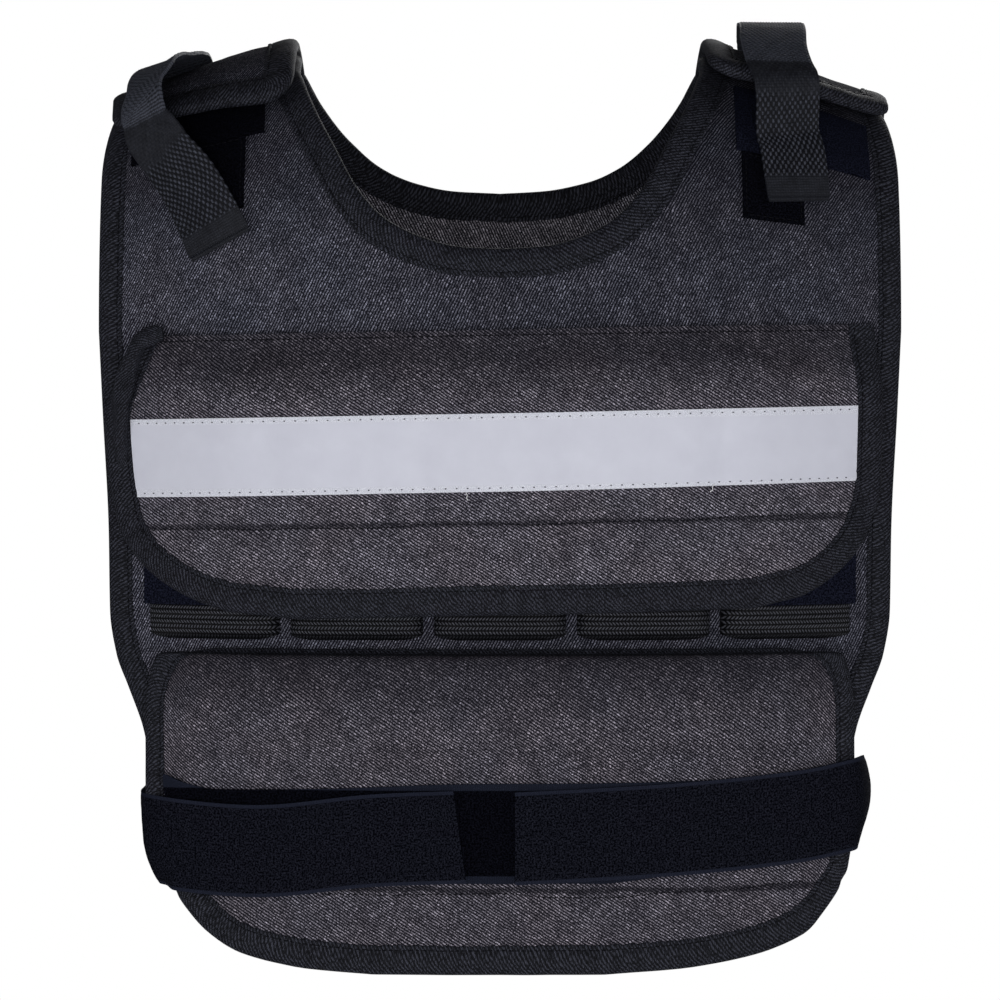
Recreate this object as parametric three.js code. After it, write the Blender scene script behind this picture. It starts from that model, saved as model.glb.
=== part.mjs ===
// Weighted training vest, shaped as it is worn and held up at its shoulders.
// Millimetres, +Z up. The front faces -Y and +X is to the right of someone who looks at the front.
// The origin is midway between the two shoulder seats, at the underside of the shoulder crest.

import * as THREE from "three";

// Cloth, tape and clearances
const PANEL_THICKNESS = 4;
const FLAP_THICKNESS = 2.5;
const TAPE_THICKNESS = 1.2;
const PILE_THICKNESS = 1.2;
const STRIPE_THICKNESS = 1;
const BELT_THICKNESS = 2;
const WEBBING_THICKNESS = 1.8;
const CLEARANCE = 0.5;
const TAPE_EASE = 1;
const BINDING_WIDTH = 13.5;

// Torso form that both panels lie on
const HALF_WIDTH = 218;
const FRONT_DEPTH = 118;
const BACK_DEPTH = 112;
const SIDE_SWEEP = 52;
const SWEEP_POWER = 2.6;
const WAIST_TUCK = 8;
const CHEST_DROP = 134;
const CREST_RISE_AT_NECK = 16;
const CREST_DROP_AT_ARM = 19.6;

// Panels
const NECK_HALF_WIDTH = 110;
const FRONT_NECK_DEPTH = 107;
const BACK_NECK_DEPTH = 70;
const BODY_LENGTH = 339;
const SHOULDER_END_GAP = 14;
const TONGUE_LENGTH_AT_NECK = 76;
const TONGUE_LENGTH_AT_ARM = 58;
const TONGUE_CORNER = 16;
const TONGUE_TAPER = 4;
const SHOULDER_TAPER = 6;
const TONGUE_RISE = 55;
const TONGUE_LIFT_LEFT = 3;
const TONGUE_LIFT_RIGHT = 11;

// Flaps
const UPPER_FLAP_INSET = 18.5;
const UPPER_FLAP_LENGTH = 150;
const UPPER_FLAP_CORNER = 48;
const LOWER_FLAP_INSET = 33;
const LOWER_FLAP_TOP = 175.5;
const LOWER_FLAP_LENGTH = 168.5;
const LOWER_FLAP_CORNER = 18;
const LOWER_FLAP_LIE = 12;
const LOWER_BULGE = 12;
const SIDE_FALL = 75;
const EDGE_SWELL = 0.45;
const FLAP_RISE = 40;

// What lies on the flaps and under them
const STRIPE_TOP = 44.7;
const STRIPE_WIDTH = 41.6;
const POCKET_COUNT = 5;
const POCKET_ROW_INSET = 11.5;
const POCKET_GAP = 6;
const POCKET_TOP = 32;
const POCKET_BOTTOM = 167;
const POCKET_DEPTH = 15;
const SEAM_THICKNESS = 2;
const PILE_STRIP_INSET = 5.5;
const PILE_STRIP_TOP = 100;
const PILE_STRIP_WIDTH = 48;
const LOWER_ROW_INSET = 26;
const BELT_TOP = 246;
const BELT_WIDTH = 50;
const BELT_END_LEFT = 18;
const BELT_END_RIGHT = 8;
const BELT_SIDE_OUT_LEFT = 194;
const BELT_SIDE_OUT_RIGHT = 205;
const BELT_SIDE_LEAN = 0.15;
const BELT_BACK_END = 12;
const BELT_PATCH_MARGIN = 3;
const BELT_PATCH_INSET = 25;

// Shoulder patches and straps
const PATCH_INSET = 8;
const PATCH_TOP = 60;
const PATCH_LENGTH_LEFT = 42;
const PATCH_LENGTH_RIGHT = 54;
const STRIP_WIDTH = 33;
const STRIP_LENGTH_LEFT = 45;
const STRIP_LENGTH_RIGHT = 37;
const STRIP_INSET = 10;
const WEBBING_WIDTH = 37;
const LOOP_RISE = 18;
const STRAP_FALL = 34;
const TONGUE_MARGIN = 8;

// Belt round the wearer's sides
const BELT_SIDE_SQUARENESS = 0.7;
const BELT_SIDE_TURN = 0.6;

// Half width of a panel below the chest, as shares of its length and of its half width.
const BODY_OUTLINE = [
  { down: 0, half: 1 },
  { down: 0.13, half: 0.99 },
  { down: 0.32, half: 0.975 },
  { down: 0.45, half: 0.972 },
  { down: 0.52, half: 0.955 },
  { down: 0.57, half: 0.925 },
  { down: 0.64, half: 0.885 },
  { down: 0.76, half: 0.85 },
  { down: 0.87, half: 0.8 },
  { down: 0.93, half: 0.72 },
  { down: 0.97, half: 0.61 },
  { down: 1, half: 0.36 },
];
// Neckline of each panel, as shares of the neck's half width and of its depth below the crest.
const FRONT_NECKLINE = [
  { across: 0, down: 1 },
  { across: 0.21, down: 0.985 },
  { across: 0.38, down: 0.94 },
  { across: 0.55, down: 0.85 },
  { across: 0.69, down: 0.7 },
  { across: 0.83, down: 0.44 },
  { across: 0.93, down: 0.24 },
  { across: 0.99, down: 0.09 },
];
const BACK_NECKLINE = [
  { across: 0, down: 1 },
  { across: 0.25, down: 0.975 },
  { across: 0.45, down: 0.91 },
  { across: 0.62, down: 0.79 },
  { across: 0.78, down: 0.58 },
  { across: 0.92, down: 0.3 },
  { across: 0.99, down: 0.09 },
];
// Lower flap below its top edge, as shares of its length and of its half width.
const LOWER_FLAP_OUTLINE = [
  { down: 0, half: 1 },
  { down: 0.6, half: 1 },
  { down: 0.7, half: 0.965 },
  { down: 0.78, half: 0.924 },
  { down: 0.86, half: 0.866 },
  { down: 0.93, half: 0.757 },
  { down: 0.98, half: 0.56 },
  { down: 1, half: 0.33 },
];
// How far the lower flap stands off its lie, as shares of its length and of its bulge.
const LOWER_FLAP_SWELL = [
  { down: 0, out: 0.5 },
  { down: 0.09, out: 0.82 },
  { down: 0.17, out: 1 },
  { down: 0.25, out: 0.8 },
  { down: 0.34, out: 0 },
  { down: 0.79, out: 0 },
  { down: 0.88, out: 0.12 },
  { down: 1, out: 0.14 },
];
// Webbing straps from their sewn ends behind, over the crest and down the front.
// over is the share of a quarter of the shoulder dome, side the share of the half width,
// lift the share of the loop's rise, roll the turn about its own length in degrees.
const RIGHT_STRAP = [
  { over: 1.5, side: 0.64, lift: 0, roll: 0 },
  { over: 1.36, side: 0.64, lift: 0.05, roll: 0 },
  { over: 1.22, side: 0.642, lift: 0.22, roll: 5 },
  { over: 1.1, side: 0.645, lift: 0.44, roll: 10 },
  { over: 1, side: 0.65, lift: 0.58, roll: 14 },
  { over: 0.9, side: 0.662, lift: 0.5, roll: 12 },
  { over: 0.8, side: 0.678, lift: 0.3, roll: 6 },
  { over: 0.7, side: 0.69, lift: 0.1, roll: 0 },
  { over: 0.62, side: 0.7, lift: 0.02, roll: 0 },
  { over: 0.56, side: 0.706, lift: 0.02, roll: 0 },
  { over: 0.49, side: 0.714, lift: 0.02, roll: 0 },
  { over: 0.4, side: 0.726, lift: 0, roll: 0 },
  { over: 0.3, side: 0.735, lift: 0, roll: 0 },
];
const LEFT_STRAP = [
  { over: 1.5, side: -0.76, lift: 0, roll: 0 },
  { over: 1.36, side: -0.765, lift: 0.05, roll: 0 },
  { over: 1.22, side: -0.775, lift: 0.2, roll: 0 },
  { over: 1.1, side: -0.79, lift: 0.36, roll: 6 },
  { over: 1, side: -0.815, lift: 0.46, roll: 16 },
  { over: 0.9, side: -0.838, lift: 0.5, roll: 26 },
  { over: 0.8, side: -0.855, lift: 0.48, roll: 26 },
  { over: 0.7, side: -0.862, lift: 0.34, roll: 18 },
  { over: 0.62, side: -0.85, lift: 0.12, roll: 8 },
  { over: 0.55, side: -0.826, lift: 0.02, roll: 0 },
  { over: 0.47, side: -0.773, lift: 0.02, roll: 0 },
  { over: 0.38, side: -0.73, lift: 0, roll: 0 },
  { over: 0.245, side: -0.68, lift: 0, roll: 0 },
];
// Height of each belt tail's middle below the belt line, as shares of its reach and of its width.
const LEFT_BELT_WAVE = [
  { across: 0, drop: 0 },
  { across: 0.35, drop: 0.04 },
  { across: 0.7, drop: 0.16 },
  { across: 1, drop: 0.02 },
];
const RIGHT_BELT_WAVE = [
  { across: 0, drop: 0.04 },
  { across: 0.5, drop: -0.06 },
  { across: 0.85, drop: -0.18 },
  { across: 1, drop: -0.3 },
];
// Column places from the inner to the outer edge of a flap or body row, and of a shoulder row.
// The first and last gap of each is a binding's width where an edge is bound.
const BODY_COLUMNS = [0, 0.25, 0.46, 0.65, 0.81];
const FLAP_COLUMNS = [0, 0.25, 0.44, 0.59, 0.72, 0.83];
const SHOULDER_COLUMNS = [0, 0.13, 0.33, 0.53, 0.73];
const LAST_COLUMN = 0.87;
// Row places of each piece, as shares of its length
const HEM_ROWS = [1, 0.98, 0.95, 0.9, 0.82, 0.7, 0.6, 0.52, 0.4, 0.2, 0];
const NECKLINE_STEPS = 8;
const NECKLINE_END = 0.99;
const NECKLINE_CROWDING = 0.8;
const TONGUE_ROWS = [0.2, 0.4, 0.6, 0.79, 0.9, 0.97, 1];
const CORNER_ROWS = [1, 0.7, 0.4, 0.18, 0.05, 0];
const POCKET_ROWS = [0, 0.08, 0.3, 0.7, 0.92, 1];
const LOWER_FLAP_ROWS = [0, 0.012, 0.04, 0.09, 0.17, 0.25, 0.34, 0.6, 0.7, 0.79, 0.87, 0.93, 0.975, 1];
const LOWER_ROW_ROWS = [0.6, 0.48, 0.34, 0.25, 0.17, 0.09, 0.05];
const LOWER_ROW_START = 0.02;
const LOWER_ROW_RISE = 0.12;

// Lengths that follow from the driving sizes
const UPPER_FLAP_HALF_WIDTH = HALF_WIDTH - UPPER_FLAP_INSET;
const LOWER_FLAP_HALF_WIDTH = HALF_WIDTH - LOWER_FLAP_INSET;
const POCKET_ROW_HALF_WIDTH = UPPER_FLAP_HALF_WIDTH - POCKET_ROW_INSET;
const PILE_STRIP_HALF_WIDTH = UPPER_FLAP_HALF_WIDTH - PILE_STRIP_INSET;
const QUARTER = (Math.PI / 4) * (FRONT_DEPTH + CHEST_DROP + CREST_RISE_AT_NECK);
const BACK_CHEST = 2 * QUARTER;
const PILE_BASE = PANEL_THICKNESS + CLEARANCE;
const WEDGE = TAPE_THICKNESS + TAPE_EASE;
const TONGUE_BASE = PANEL_THICKNESS + 2 * WEDGE + CLEARANCE;

const blend = (a, b, t) => a + (b - a) * t;
const clamp = (t) => Math.min(1, Math.max(0, t));
const smooth = (t) => clamp(t) ** 2 * (3 - 2 * clamp(t));

// Value of a table's column at a place along its key column, on a smooth curve through the rows.
function read(table, key, column, at) {
  const rows = table[0][key] <= table[table.length - 1][key] ? table : [...table].reverse();
  const last = rows.length - 1;
  const place = Math.min(rows[last][key], Math.max(rows[0][key], at));
  let i = 0;
  while (i < last - 1 && place > rows[i + 1][key]) i += 1;
  const rate = (k) => (rows[k + 1][column] - rows[k][column]) / (rows[k + 1][key] - rows[k][key]);
  const slope = (k) => {
    const before = rate(Math.max(0, k - 1));
    const after = rate(Math.min(last - 1, k));
    return before * after > 0 ? (2 * before * after) / (before + after) : 0;
  };
  const span = rows[i + 1][key] - rows[i][key];
  const t = (place - rows[i][key]) / span;
  const toNext = 3 * t ** 2 - 2 * t ** 3;
  const value = blend(rows[i][column], rows[i + 1][column], toNext);
  const leaving = (t ** 3 - 2 * t ** 2 + t) * span * slope(i);
  const arriving = (t ** 3 - t ** 2) * span * slope(i + 1);
  return value + leaving + arriving;
}

// Torso form. A place on it is x across and p along: p is negative below the chest in front,
// 0 to BACK_CHEST over the shoulder dome, and more than that below the chest behind.
function crestHeight(x) {
  const reach = (x ** 2 - NECK_HALF_WIDTH ** 2) / (HALF_WIDTH ** 2 - NECK_HALF_WIDTH ** 2);
  return CREST_RISE_AT_NECK - (CREST_RISE_AT_NECK + CREST_DROP_AT_ARM) * reach;
}

function formPoint(x, p) {
  const sweep = SIDE_SWEEP * (Math.abs(x) / HALF_WIDTH) ** SWEEP_POWER;
  const angle = (Math.PI / 2) * Math.min(2, Math.max(0, p / QUARTER));
  const below = p < 0 ? -p : Math.max(0, p - BACK_CHEST);
  const fullDepth = p < QUARTER ? FRONT_DEPTH : BACK_DEPTH;
  const depth = fullDepth - sweep - WAIST_TUCK * (below / BODY_LENGTH) ** 2;
  const rise = crestHeight(x) + CHEST_DROP;
  return new THREE.Vector3(x, -depth * Math.cos(angle), rise * Math.sin(angle) - CHEST_DROP - below);
}

function formSlopes(x, p) {
  const step = 0.5;
  const across = formPoint(x + step, p).sub(formPoint(x - step, p)).divideScalar(2 * step);
  const along = formPoint(x, p + step).sub(formPoint(x, p - step)).divideScalar(2 * step);
  return { across, along, out: across.clone().cross(along).normalize() };
}

function place(x, p, out) {
  return formPoint(x, p).addScaledVector(formSlopes(x, p).out, out);
}

// The place along the dome where a panel at x stands at height z, in front or behind.
function alongAtHeight(x, z, behind) {
  const angle = Math.asin(clamp((z + CHEST_DROP) / (crestHeight(x) + CHEST_DROP)));
  const along = (angle / (Math.PI / 2)) * QUARTER;
  return behind ? BACK_CHEST - along : along;
}

// A closed mesh from its points and triangles, with its faces turned outwards.
function closedMesh(points, triangles) {
  let volume = 0;
  for (const [a, b, c] of triangles) {
    volume += points[a].dot(points[b].clone().cross(points[c]));
  }
  const turned = volume < 0 ? triangles.map(([a, b, c]) => [a, c, b]) : triangles;
  const geometry = new THREE.BufferGeometry();
  const positions = points.flatMap((v) => v.toArray());
  geometry.setAttribute("position", new THREE.Float32BufferAttribute(positions, 3));
  geometry.setIndex(turned.flat());
  geometry.computeVertexNormals();
  return geometry;
}

// A flat pattern of cells, each a row of four corners, with equal corners joined.
class Pattern {
  constructor() {
    this.corners = [];
    this.triangles = [];
    this.known = new Map();
  }
  corner([x, p]) {
    const key = `${Math.round(x * 1000)},${Math.round(p * 1000)}`;
    if (!this.known.has(key)) {
      this.known.set(key, this.corners.length);
      this.corners.push([x, p]);
    }
    return this.known.get(key);
  }
  triangle(a, b, c) {
    if (a !== b && b !== c && a !== c) this.triangles.push([a, b, c]);
  }
  grid(rows) {
    for (let j = 0; j + 1 < rows.length; j += 1) {
      for (let i = 0; i + 1 < rows[j].length; i += 1) {
        const cell = [rows[j][i], rows[j][i + 1], rows[j + 1][i + 1], rows[j + 1][i]];
        const [a, b, c, d] = cell.map((corner) => this.corner(corner));
        this.triangle(a, b, c);
        this.triangle(a, c, d);
      }
    }
    return this;
  }
  // The cloth that fills the pattern from its low side to its high side.
  cloth(low, high) {
    const count = this.corners.length;
    const points = [
      ...this.corners.map(([x, p]) => place(x, p, low(x, p))),
      ...this.corners.map(([x, p]) => place(x, p, high(x, p))),
    ];
    const faces = [];
    const open = new Map();
    for (const [a, b, c] of this.triangles) {
      faces.push([a, c, b], [a + count, b + count, c + count]);
      for (const [from, to] of [[a, b], [b, c], [c, a]]) {
        if (!open.delete(`${to},${from}`)) open.set(`${from},${to}`, [from, to]);
      }
    }
    for (const [from, to] of open.values()) {
      faces.push([from, to, to + count], [from, to + count, from + count]);
    }
    return closedMesh(points, faces);
  }
}

const spread = (from, to, count) =>
  Array.from({ length: count + 1 }, (_, i) => blend(from, to, i / count));

// Sections joined into one skin: a loop of them, or a run with both ends closed by quads.
function loft(sections, endQuads, looped) {
  const size = sections[0].length;
  const points = sections.flat();
  const triangles = [];
  const runs = looped ? sections.length : sections.length - 1;
  for (let s = 0; s < runs; s += 1) {
    const next = (s + 1) % sections.length;
    for (let k = 0; k < size; k += 1) {
      const n = (k + 1) % size;
      const [a, b, c, d] = [s * size + k, s * size + n, next * size + n, next * size + k];
      triangles.push([a, b, c], [a, c, d]);
    }
  }
  if (!looped) {
    const far = (sections.length - 1) * size;
    for (const [a, b, c, d] of endQuads) {
      triangles.push([a, c, b], [a, d, c]);
      triangles.push([far + a, far + b, far + c], [far + a, far + c, far + d]);
    }
  }
  return closedMesh(points, triangles);
}

// Binding tape folded round a cloth edge. path holds the edge's corners, [x, p], in order,
// and side is 1 where the cloth lies to the left of the path as seen from outside. The tape's
// section runs over the cloth, round its edge and back under it.
function binding(path, low, high, side, looped) {
  const count = path.length;
  const sections = path.map(([x, p], i) => {
    const [fromX, fromP] = path[looped ? (i + count - 1) % count : Math.max(0, i - 1)];
    const [toX, toP] = path[looped ? (i + 1) % count : Math.min(count - 1, i + 1)];
    const { across, along, out } = formSlopes(x, p);
    const ahead = across.clone().multiplyScalar(toX - fromX).addScaledVector(along, toP - fromP);
    const inward = out.clone().cross(ahead).normalize().multiplyScalar(side);
    const crossing = across.dot(along);
    const spanned = across.dot(across) * along.dot(along) - crossing ** 2;
    const overX = inward.dot(across) * along.dot(along) - inward.dot(along) * crossing;
    const overP = inward.dot(along) * across.dot(across) - inward.dot(across) * crossing;
    const at = (inset, beyond) => {
      const tapeX = x + (overX / spanned) * inset;
      const tapeP = p + (overP / spanned) * inset;
      const clothX = inset < 0 ? x : tapeX;
      const clothP = inset < 0 ? p : tapeP;
      const face = beyond > 0 ? high(clothX, clothP) : low(clothX, clothP);
      return place(tapeX, tapeP, face + beyond);
    };
    return [
      at(BINDING_WIDTH, WEDGE),
      at(-WEDGE, WEDGE),
      at(-WEDGE, -WEDGE),
      at(BINDING_WIDTH, -WEDGE),
      at(BINDING_WIDTH, -TAPE_EASE),
      at(-TAPE_EASE, -TAPE_EASE),
      at(-TAPE_EASE, TAPE_EASE),
      at(BINDING_WIDTH, TAPE_EASE),
    ];
  });
  return loft(sections, [[0, 1, 6, 7], [1, 2, 5, 6], [2, 3, 4, 5]], looped);
}

// A flat band along a route of centres, each with its directions across and outwards.
function band(route, width, thickness) {
  const sections = route.map(({ centre, across, out }) => {
    const half = across.clone().multiplyScalar(width / 2);
    const thick = out.clone().multiplyScalar(thickness);
    return [
      centre.clone().sub(half),
      centre.clone().add(half),
      centre.clone().add(half).add(thick),
      centre.clone().sub(half).add(thick),
    ];
  });
  return loft(sections, [[0, 1, 2, 3]], false);
}

// Materials
function finish(color, roughness) {
  return new THREE.MeshStandardMaterial({ color, roughness, metalness: 0 });
}
const denim = finish(0x35353c, 0.9);
const tape = finish(0x1f2024, 0.85);
const pile = finish(0x10111a, 0.95);
const silver = finish(0xc1c2cc, 0.5);
const elastic = finish(0x1d1e23, 0.8);
const webbing = finish(0x26272e, 0.7);

const vest = new THREE.Group();

function add(name, geometry, material) {
  const mesh = new THREE.Mesh(geometry, material);
  mesh.name = name;
  vest.add(mesh);
}

// Panels
const clothEdge = HALF_WIDTH - WEDGE;
const neckEdge = NECK_HALF_WIDTH + WEDGE;

function panelHalfWidth(below) {
  return clothEdge * read(BODY_OUTLINE, "down", "half", below / BODY_LENGTH);
}

// Neckline corners from the middle outwards, each [x, p].
function necklineCorners(table, depth, behind) {
  return spread(0, NECKLINE_END, NECKLINE_STEPS).map((step) => {
    const across = step ** NECKLINE_CROWDING;
    const down = read(table, "across", "down", across) * depth + WEDGE;
    const x = neckEdge * across;
    return [x, alongAtHeight(x, CREST_RISE_AT_NECK - down, behind)];
  });
}

// Arm side of the cloth, which draws in a little towards the crest.
function shoulderOuter(p) {
  const toCrest = 1 - Math.abs(p - QUARTER) / QUARTER;
  return clothEdge - SHOULDER_TAPER * smooth(2 * toCrest - 1);
}

// Rows of one half of a panel from its hem to the end of its neckline.
function panelRows(neckline, behind) {
  const at = (below) => (behind ? BACK_CHEST + below : -below);
  const rows = HEM_ROWS.map((share) => {
    const below = share * BODY_LENGTH;
    return { p: at(below), inner: 0, outer: panelHalfWidth(below) };
  });
  const bottom = neckline[0][1];
  const under = behind ? bottom + BINDING_WIDTH : bottom - BINDING_WIDTH;
  rows.push({ p: under, inner: 0, outer: clothEdge });
  for (const [x, p] of neckline) rows.push({ p, inner: x, outer: shoulderOuter(p) });
  return rows;
}

// Corner places of a row from its inner to its outer edge.
function placesAcross(inner, outer, shares = inner > 0 ? SHOULDER_COLUMNS : BODY_COLUMNS) {
  const places = shares.map((share) => blend(inner, outer, share));
  const underBinding = Math.max(outer - BINDING_WIDTH, blend(inner, outer, LAST_COLUMN));
  return [...places, underBinding, outer];
}

function cornersOf({ inner, outer, p, shares }, sign) {
  return placesAcross(inner, outer, shares).map((x) => [sign * x, p]);
}

// A piece that is the same on both sides, from the rows of its right half. A row has its own
// corners where it isn't level.
function panelPattern(rows) {
  const pattern = new Pattern();
  for (const sign of [-1, 1]) {
    const grid = rows.map((row) => (row.corners ? row.corners(sign) : cornersOf(row, sign)));
    pattern.grid(sign > 0 ? grid : grid.map((line) => [...line].reverse()));
  }
  return pattern;
}

// Front panel: its shoulder ends stop short of the crest, under the tongues of the back panel.
const frontNeckline = necklineCorners(FRONT_NECKLINE, FRONT_NECK_DEPTH, false);
const frontRows = panelRows(frontNeckline, false);
const shoulderTop = frontNeckline[frontNeckline.length - 1][1];
for (const p of spread(shoulderTop, QUARTER - SHOULDER_END_GAP, 2).slice(1)) {
  frontRows.push({ p, inner: neckEdge, outer: shoulderOuter(p) });
}
const flush = () => 0;
const panelTop = () => PANEL_THICKNESS;
add("front_panel", panelPattern(frontRows).cloth(flush, panelTop), denim);

// Edge corners of a set of rows: the neck edge, and the outer edge with the hem.
const neckPath = (rows) => {
  const right = rows.filter((row) => row.inner > 0).map((row) => [row.inner, row.p]);
  const left = right.map(([x, p]) => [-x, p]).reverse();
  const middle = rows.filter((row) => row.inner === 0).pop();
  return [...left, [0, middle.p], ...right];
};
const outerPath = (rows) => {
  const right = [...rows].reverse().map((row) => [row.outer, row.p]);
  const hem = cornersOf(rows[0], 1).slice(1, -1).reverse();
  const left = [...right, ...hem].map(([x, p]) => [-x, p]).reverse();
  return [...right, ...hem, [0, rows[0].p], ...left];
};
add("front_neck_binding", binding(neckPath(frontRows), flush, panelTop, -1, false), tape);
add("front_edge_binding", binding(outerPath(frontRows), flush, panelTop, -1, false), tape);

// Back panel: its shoulder ends pass over the crest and lie on the front as tongues.
const backNeckline = necklineCorners(BACK_NECKLINE, BACK_NECK_DEPTH, true);
const backRows = panelRows(backNeckline, true);
const backTop = backNeckline[backNeckline.length - 1][1];
for (const p of spread(backTop, QUARTER, 3).slice(1)) {
  backRows.push({ p, inner: neckEdge, outer: shoulderOuter(p) });
}
const tongueEnd = (x) => {
  const share = clamp((Math.abs(x) - neckEdge) / (clothEdge - neckEdge));
  return QUARTER - blend(TONGUE_LENGTH_AT_NECK, TONGUE_LENGTH_AT_ARM, share);
};
for (const step of TONGUE_ROWS) {
  const left = (1 - step) * TONGUE_LENGTH_AT_NECK;
  const turn = clamp(1 - left / TONGUE_CORNER);
  const round = TONGUE_CORNER * (1 - Math.sqrt(1 - turn ** 2));
  const inner = neckEdge + round;
  const outer = shoulderOuter(QUARTER) - TONGUE_TAPER * step - round;
  const corners = (sign) =>
    placesAcross(inner, outer).map((x) => [sign * x, blend(QUARTER, tongueEnd(x), step)]);
  backRows.push({ inner, outer, corners });
}
// The back panel's inside: it steps out over the front panel where the tongues lie on it.
const backLow = (x, p) => {
  const over = TONGUE_BASE * smooth((QUARTER + TONGUE_RISE - p) / TONGUE_RISE);
  const rise = x < 0 ? TONGUE_LIFT_LEFT : TONGUE_LIFT_RIGHT;
  return over + rise * clamp((QUARTER - p) / TONGUE_LENGTH_AT_NECK) ** 2;
};
const backHigh = (x, p) => backLow(x, p) + PANEL_THICKNESS;
add("back_panel", panelPattern(backRows).cloth(backLow, backHigh), denim);

// The back binding is one loop: neck, tongue, side, hem, side and tongue.
function backPath() {
  const inner = backRows.filter((row) => row.inner > 0);
  const innerSide = inner.map((row) => (row.corners ? row.corners(1)[0] : [row.inner, row.p]));
  const tongueFront = backRows[backRows.length - 1].corners(1).slice(1, -1);
  const outerSide = [...backRows]
    .reverse()
    .map((row) => (row.corners ? row.corners(1).pop() : [row.outer, row.p]));
  const hem = cornersOf(backRows[0], 1).slice(1, -1).reverse();
  const right = [...innerSide, ...tongueFront, ...outerSide, ...hem];
  const left = right.map(([x, p]) => [-x, p]).reverse();
  const middle = backNeckline[0];
  return [middle, ...right, [0, backRows[0].p], ...left];
}
add("back_binding", binding(backPath(), backLow, backHigh, 1, true), tape);

// Loop pile patches on the front of each shoulder
const patchLow = () => PILE_BASE;
const patchHigh = () => PILE_BASE + PILE_THICKNESS;
const patchMiddle = (NECK_HALF_WIDTH + HALF_WIDTH) / 2;
const patchWidth = HALF_WIDTH - NECK_HALF_WIDTH - PATCH_INSET - 2 * BINDING_WIDTH;
const patchEdge = QUARTER - PATCH_TOP;

// A rectangle of pile on one shoulder, below the edge at top, as a grid of cells.
function shoulderPile(sign, middle, width, top, length, cellsAcross, cellsAlong) {
  const xs = spread(middle - width / 2, middle + width / 2, cellsAcross).map((x) => sign * x);
  if (sign < 0) xs.reverse();
  const rows = spread(top - length, top, cellsAlong).map((p) => xs.map((x) => [x, p]));
  return new Pattern().grid(rows).cloth(patchLow, patchHigh);
}
const shoulders = [
  { name: "left", sign: -1, patchLength: PATCH_LENGTH_LEFT, stripLength: STRIP_LENGTH_LEFT },
  { name: "right", sign: 1, patchLength: PATCH_LENGTH_RIGHT, stripLength: STRIP_LENGTH_RIGHT },
];
for (const { name, sign, patchLength, stripLength } of shoulders) {
  const patch = shoulderPile(sign, patchMiddle, patchWidth, patchEdge, patchLength, 4, 4);
  add(`shoulder_patch_${name}`, patch, pile);
  const stripMiddle = patchMiddle - STRIP_INSET;
  const stripEdge = patchEdge - patchLength - CLEARANCE;
  const strip = shoulderPile(sign, stripMiddle, STRIP_WIDTH, stripEdge, stripLength, 2, 3);
  add(`shoulder_strip_${name}`, strip, pile);
}

// Webbing straps, each a band over the shoulder with its loop standing above the tongue
function strapRoute(table) {
  const centres = table.map(({ over, side, lift, roll }) => {
    const x = side * HALF_WIDTH;
    const p = over * QUARTER;
    const onTongue = smooth((p - tongueEnd(x) + STRAP_FALL) / (STRAP_FALL - TONGUE_MARGIN));
    const under = blend(PILE_BASE + PILE_THICKNESS, backHigh(x, p) + WEDGE, onTongue);
    return { x, p, roll, centre: place(x, p, under + CLEARANCE + lift * LOOP_RISE) };
  });
  return centres.map(({ x, p, roll, centre }, i) => {
    const before = centres[Math.max(0, i - 1)].centre;
    const after = centres[Math.min(centres.length - 1, i + 1)].centre;
    const ahead = after.clone().sub(before).normalize();
    const level = formSlopes(x, p).out.cross(ahead).normalize();
    const across = level.applyAxisAngle(ahead, (roll * Math.PI) / 180);
    return { centre, across, out: ahead.clone().cross(across).normalize() };
  });
}
add("shoulder_strap_left", band(strapRoute(LEFT_STRAP), WEBBING_WIDTH, WEBBING_THICKNESS), webbing);
add("shoulder_strap_right", band(strapRoute(RIGHT_STRAP), WEBBING_WIDTH, WEBBING_THICKNESS), webbing);

// Upper flap: sewn along its top and swollen by the weights under it
const sideFall = (x, half) => 1 - smooth((Math.abs(x) - (half - SIDE_FALL)) / SIDE_FALL);
const pocketOut = (x) => {
  const swell = blend(EDGE_SWELL, 1, sideFall(x, UPPER_FLAP_HALF_WIDTH));
  return PILE_BASE + POCKET_DEPTH * swell;
};
const pileStripLow = (x) => pocketOut(x) + CLEARANCE;
const pileStripHigh = (x) => pileStripLow(x) + PILE_THICKNESS;
const upperLow = (x, p) => {
  const seam = PANEL_THICKNESS + CLEARANCE + WEDGE;
  return blend(seam, pileStripHigh(x) + CLEARANCE + WEDGE, smooth(-p / FLAP_RISE));
};
const upperHigh = (x, p) => upperLow(x, p) + FLAP_THICKNESS;
const cornerHalf = (half, corner, left) => {
  const turn = clamp(1 - left / corner);
  return half - corner * (1 - Math.sqrt(1 - turn ** 2));
};
const upperBelow = [...spread(0, STRIPE_TOP, 3), STRIPE_TOP + STRIPE_WIDTH];
for (const left of CORNER_ROWS) upperBelow.push(UPPER_FLAP_LENGTH - left * UPPER_FLAP_CORNER);
const upperRows = upperBelow.reverse().map((below) => ({
  p: -below,
  inner: 0,
  outer: cornerHalf(UPPER_FLAP_HALF_WIDTH, UPPER_FLAP_CORNER, UPPER_FLAP_LENGTH - below),
  shares: FLAP_COLUMNS,
}));
add("upper_flap", panelPattern(upperRows).cloth(upperLow, upperHigh), denim);
add("upper_flap_binding", binding(outerPath(upperRows), upperLow, upperHigh, -1, false), tape);

// Reflective stripe on the upper flap
const stripeHalf = UPPER_FLAP_HALF_WIDTH - BINDING_WIDTH - CLEARANCE;

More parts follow.
